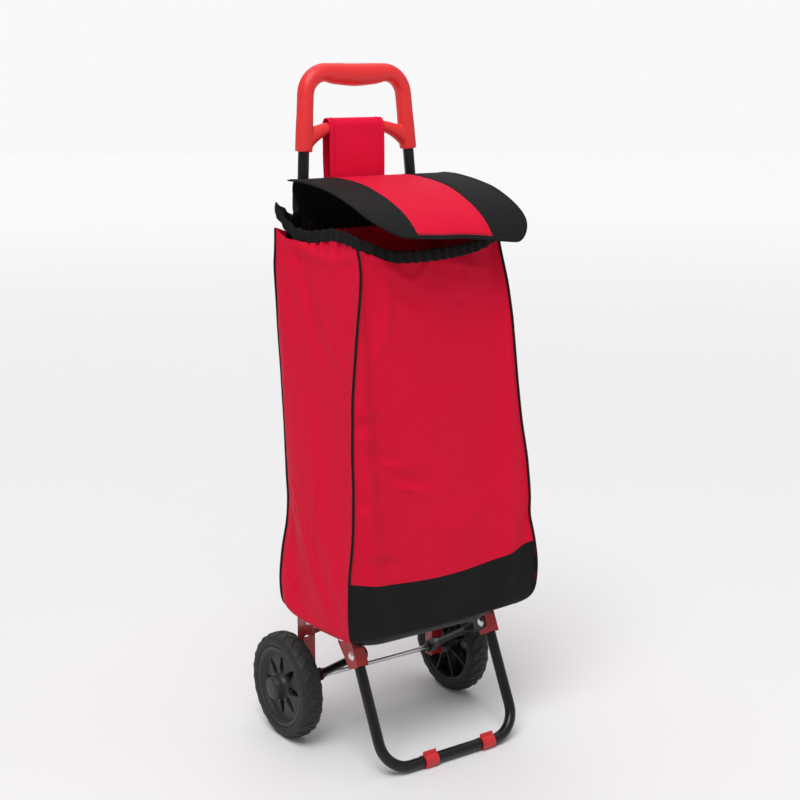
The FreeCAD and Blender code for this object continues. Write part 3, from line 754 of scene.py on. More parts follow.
bagGrid, bagHeights, bandRow = bagStart()
bagGrid = simulateBag(bagGrid, bagHeights)
bagRows, bagCols = bagGrid.shape[:2]
frontEnd = bagSizes["frontColumns"]
sideEnd = frontEnd + bagSizes["sideColumns"]
backEnd = sideEnd + bagSizes["backColumns"]

# the rear panel lies on the uprights, and all of it stays clear of them
for r in range(bagRows):
    for c in range(sideEnd - 4, backEnd + 5):
        x, y, z = bagGrid[r, c % bagCols]
        limit = uprightY(z) - 0.0118
        near = min(1.0, max(0.0, (0.1350 - abs(x)) / 0.008))
        limit += (1 - near) * 0.012
        if z > 0.715:
            limit = uprightY(z) - 0.0130
        bagGrid[r, c % bagCols, 1] = min(y, limit)


# folds pressed into the finished cloth: height (+ out, - in), width, then the points of the crease.
# Points are (x, z) on the front and (y, z) on the sides, in mm
foldSizes = {
    "front": [
        (2.6, 9, (-113, 754), (-97, 732), (-84, 701), (-81, 660), (-91, 614), (-107, 591), (-126, 604)),
        (-1.8, 14, (-110, 720), (-106, 670), (-112, 625)),
        (2.6, 8, (-107, 732), (-78, 714), (-51, 696), (-38, 693), (-11, 717)),
        (2.2, 9, (-4, 718), (47, 712), (86, 703)),
        (-2.4, 8, (-64, 683), (-45, 674), (-21, 659)),
        (2.0, 6, (-71, 668), (-48, 654), (-14, 644)),
        (3.4, 20, (23, 695), (48, 690), (76, 696)),
        (-1.2, 7, (30, 668), (51, 660), (72, 667)),
        (1.9, 8, (-137, 527), (-121, 520), (-100, 525)),
        (-2.2, 8, (-143, 510), (-121, 505)),
        (1.4, 9, (-140, 488), (-110, 484)),
        (-2.0, 9, (-143, 466), (-113, 463), (-71, 447)),
        (1.9, 6, (-105, 451), (-78, 441), (-62, 436)),
        (-2.0, 8, (-75, 423), (-48, 419), (-14, 405)),
        (1.7, 5, (-81, 412), (-54, 405), (-20, 392)),
        (-1.5, 8, (-144, 405), (-124, 392)),
        (1.4, 8, (-142, 388), (-126, 378)),
        (1.9, 8, (-122, 326), (-98, 322), (-76, 314)),
        (-1.8, 9, (-122, 309), (-86, 300)),
        (0.5, 3, (-65, 461), (-58, 420), (-44, 377)),
        (0.5, 3, (45, 485), (49, 455), (51, 430)),
        (1.2, 16, (96, 640), (118, 540), (130, 440)),
        (-1.3, 22, (40, 560), (70, 470), (84, 380)),
        (1.1, 18, (-20, 350), (30, 330), (84, 320)),
        (1.0, 12, (112, 390), (60, 352), (10, 336)),
    ],
    "side": [
        (2.4, 8, (4, 738), (-44, 738), (-70, 726), (-111, 722), (-151, 734), (-176, 744)),
        (1.6, 6, (-7, 746), (-29, 749), (-55, 748)),
        (-1.6, 8, (-20, 724), (-55, 712)),
        (1.3, 5, (12, 730), (-11, 702), (-40, 674), (-62, 624), (-86, 541)),
        (-1.3, 9, (-24, 730), (-58, 676), (-82, 606)),
        (3.2, 20, (-118, 700), (-122, 660), (-130, 618)),
        (1.5, 7, (-89, 675), (-99, 643), (-113, 607), (-133, 583), (-153, 581)),
        (1.4, 5, (4, 436), (-34, 394), (-60, 335), (-85, 282), (-121, 236)),
        (-1.2, 7, (-6, 410), (-42, 360), (-68, 300)),
        (1.3, 5, (-28, 372), (-54, 333), (-69, 293), (-95, 246)),
        (0.9, 4, (-100, 444), (-93, 402), (-86, 327), (-96, 270)),
        (1.1, 5, (-53, 288), (-35, 253), (-12, 216)),
        (1.1, 5, (-47, 271), (-68, 247), (-112, 219)),
        (0.9, 5, (-134, 339), (-138, 282), (-147, 235)),
        (-1.0, 10, (-112, 420), (-118, 350), (-126, 290)),
        (0.8, 5, (-8, 457), (-11, 545), (-16, 618)),
        (1.2, 5, (-146, 450), (-172, 452)),
        (1.2, 5, (-145, 410), (-172, 412)),
        (0.9, 12, (-52, 560), (-72, 500), (-78, 440)),
    ],
    "back": [
        (1.6, 12, (-96, 700), (-60, 640), (-40, 560)),
        (1.6, 12, (90, 690), (52, 620), (44, 540)),
        (-1.4, 14, (0, 700), (6, 600), (-6, 500)),
        (1.5, 10, (-90, 300), (-40, 330), (20, 322), (84, 296)),
        (1.2, 9, (-60, 250), (0, 262), (64, 246)),
        (-1.3, 16, (-50, 420), (40, 400)),
    ],
    "pleat": 5.0, "pleatSpacing": 30.0, "pleatFade": 34.0, "wander": 0.9,
}


def pressFolds(piece, name, outward, seams, share=1.0):
    # moves the cloth in and out along its creases, and gathers it under the mouth
    s = foldSizes
    verts = piece.data.vertices
    points = np.empty(len(verts) * 3)
    verts.foreach_get("co", points)
    points = points.reshape(-1, 3)
    u = points[:, 0 if name in ("front", "back") else 1] * 1000
    z = points[:, 2] * 1000
    push = np.zeros(len(points))
    for height, width, *line in s[name]:
        line = np.array(line, float)
        nearest = np.full(len(points), 1e9)
        taper = np.ones(len(points))
        lengths = np.linalg.norm(np.diff(line, axis=0), axis=1)
        run = np.concatenate([[0], np.cumsum(lengths)])
        for k in range(len(line) - 1):
            a, b = line[k], line[k + 1]
            t = np.clip(((u - a[0]) * (b[0] - a[0]) + (z - a[1]) * (b[1] - a[1])) / lengths[k] ** 2, 0, 1)
            far = np.hypot(u - a[0] - t * (b[0] - a[0]), z - a[1] - t * (b[1] - a[1]))
            along = (run[k] + t * lengths[k]) / run[-1]
            taper = np.where(far < nearest, np.sin(math.pi * (0.1 + 0.8 * along)), taper)
            nearest = np.minimum(nearest, far)
        push += height * taper * np.exp(-(nearest / width) ** 2)
    axis = 0 if name in ("front", "back") else 1
    edges = [bagGrid[:, seam % bagCols] * 1000 for seam in seams]
    low, high = [np.interp(z, edge[:, 2], edge[:, axis]) for edge in edges]
    width = np.maximum(np.abs(high - low), 1)
    inside = np.clip(np.minimum(np.abs(u - low), np.abs(high - u)) / 9.0, 0, 1)
    inside = inside * inside * (3 - 2 * inside)
    below = np.maximum(0, 748 - z)
    fade = np.exp(-below / s["pleatFade"])
    broad = np.exp(-below / (3.2 * s["pleatFade"]))
    shift = {"front": 0.0, "side": 3.3, "back": 7.9}[name] + (outward[0] + 1) * 1.7
    for k in range(len(points)):
        if fade[k] > 0.02:
            wave = noise.noise(Vector((u[k] / s["pleatSpacing"] * 1.5, shift, below[k] * 0.006)))
            fold = noise.noise(Vector((u[k] / s["pleatSpacing"] * 0.62, shift + 5, below[k] * 0.004)))
            push[k] += s["pleat"] * ((0.45 - 1.6 * abs(wave)) * fade[k] + 0.8 * fold * broad[k])
        push[k] += s["wander"] * noise.noise(Vector((u[k] * 0.011, z[k] * 0.009, shift + 2)))
    points += np.array(outward) * (push * inside * share)[:, None] / 1000
    verts.foreach_set("co", points.ravel())
    piece.data.update()


def bagFace(name, columns, rows, material, slotName, replaced, folds, outward, share=1.3):
    s = bagSizes
    points = bagGrid[rows[0]:rows[1]][:, [c % bagCols for c in range(columns[0], columns[1] + 1)]]
    piece = clothSheet(name, points)
    applyModifier(piece, "SUBSURF", levels=2, render_levels=2, boundary_smooth="PRESERVE_CORNERS")
    pressFolds(piece, folds, outward, columns, share)
    applyModifier(piece, "SOLIDIFY", thickness=s["cloth"], offset=-1, use_even_offset=True)
    smooth(piece, 60)
    dress(piece, material, "frame", slotName, *replaced)
    return piece


bagPieces = [
    bagFace("bagFront", (0, frontEnd), (bandRow, bagRows), redCloth, "red_cloth", ["bag_front"], "front", (0, -1, 0)),
    bagFace("bagLowerBand", (0, frontEnd), (0, bandRow + 1), blackCloth, "black_cloth", ["bag_lower_band"], "front", (0, -1, 0)),
    bagFace("bagSideRight", (frontEnd, sideEnd), (0, bagRows), redCloth, "red_cloth", ["bag_side_right"], "side", (1, 0, 0)),
    bagFace("bagBack", (sideEnd, backEnd), (0, bagRows), redCloth, "red_cloth", ["bag_back"], "back", (0, 1, 0), 0.55),
    bagFace("bagSideLeft", (backEnd, bagCols), (0, bagRows), redCloth, "red_cloth", ["bag_side_left"], "side", (-1, 0, 0)),
]

# bottom: a sheet inside the lowest ring, a little dished
ring = bagGrid[0]
centre = ring.mean(axis=0)
rings = []
for k in range(14):
    t = k / 13
    inner = ring + (centre - ring) * (0.02 + 0.97 * t)
    inner[:, 2] = ring[:, 2] - 0.0002 - 0.0006 * math.sin(math.pi * min(1, t * 1.6))
    if k == 0:
        inner = ring.copy()
    rings.append(inner)
bottomGrid = np.array(rings)
bagBottom = clothSheet("bagBottom", bottomGrid, closeRound=True)
pickOnly(bagBottom)
bpy.ops.object.mode_set(mode="EDIT")
bpy.ops.mesh.select_all(action="SELECT")
bpy.ops.mesh.select_mode(type="EDGE")
bpy.ops.object.mode_set(mode="OBJECT")
selectWhere(bagBottom, lambda v: (v.co - Vector(centre)).length < 0.004)
bpy.ops.mesh.merge(type="CENTER")
bpy.ops.object.mode_set(mode="OBJECT")
applyModifier(bagBottom, "SOLIDIFY", thickness=0.0016, offset=1)
smooth(bagBottom, 60)
dress(bagBottom, blackCloth, "frame", "black_cloth", "bag_bottom")
bagPieces.append(bagBottom)
print("bag panels made")

# piping: a cord sewn into each upright seam
pipingSizes = {"width": 0.0040, "stand": 0.0009, "tape": 0.0012}
pipingPieces = []
for name, column, way, node in (("pipingFrontLeft", 0, (-1, -1), "piping_front_left"),
                                ("pipingFrontRight", frontEnd, (1, -1), "piping_front_right"),
                                ("pipingRearRight", sideEnd, (1, 1), "piping_rear_right"),
                                ("pipingRearLeft", backEnd, (-1, 1), "piping_rear_left")):
    line = smoothLine(bagGrid[:, column % bagCols], 3)
    away = np.tile(np.array([way[0], way[1], 0.0]) / math.sqrt(2), (len(line), 1))
    line = line + away * pipingSizes["stand"]
    if "Rear" in name:
        line[:, 1] = np.minimum(line[:, 1], uprightY(line[:, 2]) + 0.004)
        keepIn = np.abs(line[:, 0]) < 0.1285
        line[keepIn, 0] = np.sign(line[keepIn, 0]) * 0.1285
    line = resampled(line, 0.004)
    away = away[:1].repeat(len(line), axis=0)
    cord = sweptTube(name, line, pipingSizes["width"], pipingSizes["width"], sides=10, normals=away)
    dress(cord, blackCloth, "frame", "black_cloth", node)
    pipingPieces.append(cord)
print("piping made")


# gathered hem
hemSizes = {"height": 0.0175, "thick": 0.0056, "pleat": 0.0155, "depth": 0.0034, "spacing": 0.0028,
            "around": 14}


def makeHem():
    s = hemSizes
    line = bagGrid[-1].copy()
    line = smoothLine(line, 2, closed=True)
    line = resampled(line, s["spacing"], closed=True)
    n = len(line)
    ahead = np.roll(line, -1, axis=0) - np.roll(line, 1, axis=0)
    ahead[:, 2] = 0
    ahead /= np.linalg.norm(ahead, axis=1)[:, None]
    outward = np.stack([ahead[:, 1], -ahead[:, 0], np.zeros(n)], axis=1)
    rings = []
    angles = np.linspace(0, 2 * math.pi, s["around"], endpoint=False)
    for i in range(n):
        x, y, z = line[i]
        run = i * s["spacing"]
        # pleats of uneven width that lean one way, and a slower wander
        warp = run + 0.006 * noise.noise(Vector((run * 40, 1.3, 0)))
        pleat = math.sin(2 * math.pi * warp / s["pleat"])
        pleat = pleat + 0.35 * math.sin(4 * math.pi * warp / s["pleat"] + 0.8)
        slow = noise.noise(Vector((run * 16, 7.7, 2.0)))
        squeeze = 0.75 + 0.35 * noise.noise(Vector((run * 55, 3.1, 5.0)))
        push = s["depth"] * pleat * squeeze + 0.0016 * slow
        ring = []
        for a in angles:
            u = math.cos(a)
            v = math.sin(a)
            # a flattened tube, pinched where the thread holds it near its lower edge
            w = abs(v) ** 0.6 * math.copysign(1, v)
            height = s["height"] * 0.5 * w
            width = s["thick"] * 0.5 * u * (1 + 0.25 * slow)
            level = (w + 1) / 2
            # the pleats are deepest at the top edge and at the sewn line
            deep = 0.35 + 0.65 * abs(2 * level - 0.75)
            top = 0.0012 * math.sin(2 * math.pi * warp / s["pleat"] * 1.5 + 1.1) * level
            p = line[i] + outward[i] * (width + push * deep + 0.0005)
            p = p + np.array([0, 0, s["height"] * 0.42 + height + top])
            ring.append(p)
        rings.append(ring)
    points = np.array(rings)
    # the rear left corner stands up in a loose loop, and so does the right one a little
    for side, lift in ((-1, 0.022), (1, 0.012)):
        corner = np.array([side * 0.150 if side < 0 else 0.142, 0.014])
        far = np.linalg.norm(points[:, :, :2] - corner, axis=2)
        points[:, :, 2] += lift * np.exp(-(far / 0.026) ** 2)
        points[:, :, 0] += side * 0.0025 * np.exp(-(far / 0.02) ** 2)
    # the rear run hides in front of the hood
    rear = (points[:, :, 1] > uprightY(points[:, :, 2]) - 0.0135) & (np.abs(points[:, :, 0]) < 0.130)
    points[:, :, 1] = np.where(rear, uprightY(points[:, :, 2]) - 0.0135, points[:, :, 1])
    rings = np.concatenate([points, points[:1]], axis=0)
    hem = clothSheet("gatheredHem", rings, closeRound=True)
    pickOnly(hem)
    bpy.ops.object.mode_set(mode="EDIT")
    bpy.ops.mesh.select_all(action="SELECT")
    bpy.ops.mesh.remove_doubles(threshold=0.000005)
    bpy.ops.mesh.normals_make_consistent(inside=False)
    bpy.ops.object.mode_set(mode="OBJECT")
    applyModifier(hem, "SUBSURF", levels=1, render_levels=1)
    smooth(hem, 70)
    return hem


hem = makeHem()
dress(hem, blackCloth, "frame", "black_cloth", "gathered_hem")
print("hem made")

# hood
hoodSizes = {"top": 0.8215, "bottom": 0.729, "columns": 64, "rows": 30, "thick": 0.0011,
             # height and half width of its side edges
             "sides": [(0.729, 0.133), (0.765, 0.140), (0.786, 0.1385), (0.800, 0.131), (0.812, 0.123), (0.8215, 0.1175)]}


def makeHood():
    s = hoodSizes
    table = np.array(s["sides"])
    grid = []
    for r in range(s["rows"]):
        z = s["bottom"] + (s["top"] - s["bottom"]) * r / (s["rows"] - 1)
        half = np.interp(z, table[:, 0], table[:, 1])
        row = []
        for c in range(s["columns"]):
            x = -half + 2 * half * c / (s["columns"] - 1)
            edge = min(1.0, max(0.0, (abs(x) - 0.098) / 0.03))
            # the side edges turn forward round the mouth, and the cloth is a little slack
            upper = max(0.0, (z - 0.745) / 0.075)
            forward = 0.034 * edge ** 2.0 * max(0.0, 1 - abs(z - 0.782) / 0.045)
            slack = 0.0016 * noise.noise(Vector((x * 24, z * 30, 4.0))) * min(1.0, upper * 3) * (1 - upper ** 3)
            y = uprightY(z) - 0.0105 - forward - abs(slack)
            row.append((x, y, z))
        grid.append(row)
    return clothSheet("hoodCloth", np.array(grid)[:, ::-1])


hood = makeHood()
applyModifier(hood, "SUBSURF", levels=1, render_levels=1, boundary_smooth="PRESERVE_CORNERS")
applyModifier(hood, "SOLIDIFY", thickness=hoodSizes["thick"], offset=0, use_even_offset=True)
smooth(hood, 60)
dress(hood, blackCloth, "frame", "black_cloth", "hood")
print("hood made")

# flap
flapSizes = {
    # side profile from the hinge to the front edge (y, z)
    "profile": [(0.0188, 0.8235), (0.004, 0.8255), (-0.020, 0.8262), (-0.050, 0.8235), (-0.080, 0.8195),
                (-0.110, 0.8135), (-0.135, 0.8055), (-0.158, 0.7955), (-0.178, 0.784), (-0.195, 0.7705), (-0.208, 0.755)],
    "half": 0.129, "halfRight": 0.1405, "corner": 0.058, "cornerRight": 0.046, "stripe": 0.0645, "thick": 0.0021,
    "bindWidth": 0.0075, "bindThick": 0.0036, "rows": 70, "droop": 0.0145,
}


def flapPoint(x, v, length, path, run):
    # v is the distance from the hinge along the cloth
    y = np.interp(v, run, path[:, 0])
    z = np.interp(v, run, path[:, 1])
    t = v / length
    z -= flapSizes["droop"] * (x / 0.127 if x > 0 else x / 0.22) * max(0.0, (t - 0.30) / 0.70) ** 3      # right corner hangs lower
    z -= 0.0020 * (x / 0.127) ** 2 * math.sin(math.pi * min(1.0, t * 1.1))        # edges relax
    wave = noise.noise(Vector((x * 13, v * 16, 8.1))) * 0.0020 + noise.noise(Vector((x * 40, v * 45, 2.2))) * 0.00045
    z += wave * min(1.0, t * 4)
    y += 0.0012 * noise.noise(Vector((x * 18, v * 9, 5.5))) * t
    # the welts draw the cloth in a little
    seam = math.exp(-((abs(x) - flapSizes["stripe"]) / 0.004) ** 2)
    z -= 0.0005 * seam * (1 + 0.5 * math.sin(v * 520))
    return (x, y, z)


def makeFlap():
    s = flapSizes
    path = np.array(s["profile"])
    fine = np.linspace(0, len(path) - 1, 240)
    base = np.arange(len(path))
    path = np.stack([np.interp(fine, base, path[:, 0]), np.interp(fine, base, path[:, 1])], axis=1)
    for _ in range(160):
        path[1:-1] = 0.25 * path[:-2] + 0.5 * path[1:-1] + 0.25 * path[2:]
    run = np.concatenate([[0], np.cumsum(np.linalg.norm(np.diff(path, axis=0), axis=1))])
    length = run[-1]
    r = max(s["corner"], s["cornerRight"])

    def halfAt(v, side=-1):
        wide = s["half"] if side < 0 else s["halfRight"]
        bend = s["corner"] if side < 0 else s["cornerRight"]
        into = max(0.0, v - (length - bend))
        return wide - bend + math.sqrt(max(0.0, bend * bend - into * into))

    # rows crowd together towards the rounded front corners
    steps = np.linspace(0, 1, s["rows"])
    rowsAt = np.where(steps < 0.7, steps / 0.7 * (length - r), 0)
    for i, t in enumerate(steps):
        if t >= 0.7:
            rowsAt[i] = (length - r) + r * math.sin((t - 0.7) / 0.3 * math.pi / 2)
    pieces = []
    for name, side in (("flapStripe", 0), ("flapSideLeft", -1), ("flapSideRight", 1)):
        grid = []
        for v in rowsAt:
            half = halfAt(v, side) - 0.0012
            if side == 0:
                xs = np.linspace(-s["stripe"], s["stripe"], 40)
            elif side < 0:
                xs = np.linspace(-half, -s["stripe"], 22)
            else:
                xs = np.linspace(s["stripe"], half, 22)
            grid.append([flapPoint(x, v, length, path, run) for x in xs])
        piece = clothSheet(name, np.array(grid)[:, ::-1])
        applyModifier(piece, "SUBSURF", levels=1, render_levels=1, boundary_smooth="PRESERVE_CORNERS")
        applyModifier(piece, "SOLIDIFY", thickness=s["thick"] if side else s["thick"] * 0.94, offset=0)
        smooth(piece, 60)
        pieces.append(piece)
    # binding folded round the edge, from the hinge down one side and up the other
    edge = []
    for v in rowsAt[2:]:
        edge.append((-(halfAt(v) - 0.0024), v))
    for x in np.linspace(-(halfAt(length) - 0.0024), halfAt(length, 1) - 0.0024, 40)[1:-1]:
        edge.append((x, length - 0.0022))
    for v in rowsAt[2:][::-1]:
        edge.append((halfAt(v, 1) - 0.0024, v))
    line, ups = [], []
    for x, v in edge:
        v = min(v, length - 0.0022)
        p = np.array(flapPoint(x, v, length, path, run))
        q = np.array(flapPoint(x, max(0.0, v - 0.002), length, path, run))
        q2 = np.array(flapPoint(x + 0.002, v, length, path, run))
        n = np.cross(q2 - p, q - p)
        n /= np.linalg.norm(n)
        line.append(p)
        ups.append(n if n[2] > 0 else -n)
    line = np.array(line)
    ups = smoothLine(np.array(ups), 4)
    fineLine = resampled(smoothLine(line, 2), 0.0035)
    runLine = np.concatenate([[0], np.cumsum(np.linalg.norm(np.diff(line, axis=0), axis=1))])
    marks = np.linspace(0, runLine[-1], len(fineLine))
    fineUps = np.stack([np.interp(marks, runLine, ups[:, i]) for i in range(3)], axis=1)
    binding = sweptTube("flapBinding", fineLine, s["bindWidth"], s["bindThick"], sides=14, normals=fineUps)
    # welts where the stripe joins the black sides, with a row of stitches beside each
    extras = []
    for side in (-1, 1):
        vs = np.linspace(0.004, length - 0.003, 90)
        welt = np.array([flapPoint(side * s["stripe"], v, length, path, run) for v in vs])
        near = np.array([flapPoint(side * s["stripe"] + 0.002, v, length, path, run) for v in vs])
        tang = np.gradient(welt, axis=0)
        n = np.cross(near - welt, tang)
        n /= np.linalg.norm(n, axis=1)[:, None]
        n = np.where(n[:, 2:] > 0, n, -n)
        weltPiece = sweptTube("flapWelt" + ("Left" if side < 0 else "Right"), welt + n * 0.0009, 0.0030, 0.0013,
                              sides=8, normals=n)
        out = side * (s["stripe"] + 0.0042)
        seam = np.array([flapPoint(out, v, length, path, run) for v in vs[:-6]]) + n[:-6] * 0.00105
        row = stitches("flapStitches" + ("Left" if side < 0 else "Right"), seam, n[:-6],
                       {"thread": 0.00042, "length": 0.0034, "lift": 0.0})
        extras += [weltPiece, row]
    inner = []
    for x, v in edge:
        v = min(v, length - 0.0022)
        scale = 1 - 0.0052 / max(abs(x), 0.02) if abs(x) > 0.06 else 1
        inner.append(flapPoint(x * scale if v < length - 0.004 else x, v - 0.0052 * max(0.0, (v - (length - r)) / r), length, path, run))
    inner = smoothLine(np.array(inner), 3) + ups * 0.0012
    bindStitch = stitches("bindingStitches", inner, ups, {"thread": 0.00042, "length": 0.0036, "lift": 0.0})
    extras.append(bindStitch)
    return pieces, binding, extras, length


flapPanels, flapBinding, flapTrim, flapLength = makeFlap()
for piece, material, slotName, node in zip(flapPanels, (redCloth, blackCloth, blackCloth),
                                           ("red_cloth", "black_cloth", "black_cloth"),
                                           ("flap_centre", "flap_side_left", "flap_side_right")):
    dress(piece, material, "flap", slotName, node)
dress(flapBinding, blackCloth, "flap", "black_cloth", "flap_binding")
for piece in flapTrim:
    dress(piece, threadBlack if "titch" in piece.name else blackCloth, "flap", "black_cloth")
print("flap made, cloth length", round(flapLength, 3))

# strap
strapSizes = {"width": 0.094, "x": -0.005, "thick": 0.0016, "columns": 26,
              "barY": uprightY(0.899), "barZ": 0.899, "barRadius": 0.0086}


def makeStrap():
    s = strapSizes
    r = s["barRadius"] + 0.0011
    by, bz = s["barY"], s["barZ"]
    foot = uprightY(0.775) - 0.012 + 0.0046
    # front layer up from the hood, over the bar, and down behind it (y, z)
    front = [(foot + 0.0002, 0.775), (foot + 0.0012, 0.790), (foot + 0.0024, 0.812), (by - r - 0.0012, 0.860), (by - r, bz - 0.004)]
    over = [(by - r * math.cos(a), bz + r * math.sin(a)) for a in np.linspace(0.0, math.pi, 15)]
    back = [(by + r, bz - 0.005), (by + r - 0.0003, 0.880), (by + 0.0088, 0.845), (by + 0.0072, 0.810), (foot + 0.0030, 0.768)]
    line = np.array(front[:-1] + over + back[1:])
    line = np.column_stack([np.zeros(len(line)), line])
    line = resampled(line, 0.0035)
    line = smoothLine(line, 3)
    n = len(line)
    grid = []
    run = np.arange(n) * 0.0035
    for i in range(n):
        row = []
        for c in range(s["columns"]):
            u = c / (s["columns"] - 1) * 2 - 1
            x = s["x"] + u * s["width"] / 2
            p = line[i].copy()
            p[0] = x
            away = min(1.0, abs(p[2] - bz) / 0.03) if p[2] < bz else 0.0
            bow = 0.0011 * noise.noise(Vector((x * 20, p[2] * 22, p[1] * 60))) * away
            bow += 0.0010 * (1 - u * u) * away * (1 if p[1] > by else -1) * math.sin(math.pi * min(1, (p[2] - 0.765) / 0.13))
            p[1] += bow if 0.79 < p[2] else 0
            p[0] += 0.0006 * noise.noise(Vector((u * 2, run[i] * 30, 3.0)))
            row.append(p)
        grid.append(row)
    return np.array(grid)


strapGrid = makeStrap()
strap = clothSheet("strapCloth", strapGrid)
applyModifier(strap, "SUBSURF", levels=1, render_levels=1, boundary_smooth="PRESERVE_CORNERS")
applyModifier(strap, "SOLIDIFY", thickness=strapSizes["thick"], offset=0)
smooth(strap, 60)
# the strap takes the lighter copy of the red cloth, which is painted light
dress(strap, redStrapClothWithPaintedLight, "frame", "red_cloth", "strap")
strapTrim = []
for label, column in (("Left", 2), ("Right", strapSizes["columns"] - 3)):
    path = strapGrid[2:-2, column]
    across = strapGrid[2:-2, column + 1] - path
    tang = np.gradient(path, axis=0)
    n = np.cross(across, tang)
    n /= np.linalg.norm(n, axis=1)[:, None]
    if n[5, 1] > 0:
        n = -n
    line = stitches("strapStitches" + label, path + n * 0.0009, n, {"thread": 0.0004, "length": 0.0034, "lift": 0.0})
    dress(line, threadRed, "frame", "red_cloth")
    strapTrim.append(line)
print("strap made")


# handle
def turnAbout(degrees, axis, centre):
    # with no window the operator turns the other way, so the angle is negated
    bpy.ops.transform.rotate(value=-math.radians(degrees), orient_axis=axis, center_override=tuple(centre))


def sweptRings(name, stations, sides=32):
    # a ring carried through stations in the XZ plane: x, z, tilt in degrees, width in the plane, depth
    clearSelection()
    x0, z0, tilt0, wide0, deep0 = stations[0]
    bpy.ops.mesh.primitive_circle_add(vertices=sides, radius=0.5, fill_type="NGON", location=(x0, 0, z0))
    piece = bpy.context.object
    piece.name = name
    bpy.ops.object.transform_apply(location=True, rotation=True, scale=True)
    bpy.ops.object.mode_set(mode="EDIT")
    bpy.ops.mesh.select_all(action="SELECT")
    bpy.ops.transform.resize(value=(wide0, deep0, 1), center_override=(x0, 0, z0))
    turnAbout(tilt0, "Y", (x0, 0, z0))
    last = stations[0]
    for station in stations[1:]:
        x, z, tilt, wide, deep = station
        bpy.ops.mesh.extrude_region_move(TRANSFORM_OT_translate={"value": (x - last[0], 0, z - last[1])})
        turnAbout(-last[2], "Y", (x, 0, z))
        bpy.ops.transform.resize(value=(wide / last[3], deep / last[4], 1), center_override=(x, 0, z))
        turnAbout(tilt, "Y", (x, 0, z))
        last = station
    bpy.ops.mesh.select_all(action="SELECT")
    bpy.ops.mesh.normals_make_consistent(inside=False)
    bpy.ops.object.mode_set(mode="OBJECT")
    return piece


handleSizes = {
    "socketX": 0.091, "socketZ": 0.8615, "shoulderX": 0.082, "gripZ": 0.972, "bend": 0.034,
    "socketWide": 0.025, "legWide": 0.0235, "shoulderWide": 0.0265, "gripEnd": 0.0295, "gripMiddle": 0.0325,
    "depth": 0.025, "gripDepth": 0.027, "dish": 0.0022, "barZ": 0.899, "barDrop": 0.015, "barWide": 0.0165,
    "barEnd": 0.031, "voxel": 0.00125, "pipRadius": 0.00085, "pipGap": 0.0034, "pipRows": 6, "pipHalf": 0.047,
}


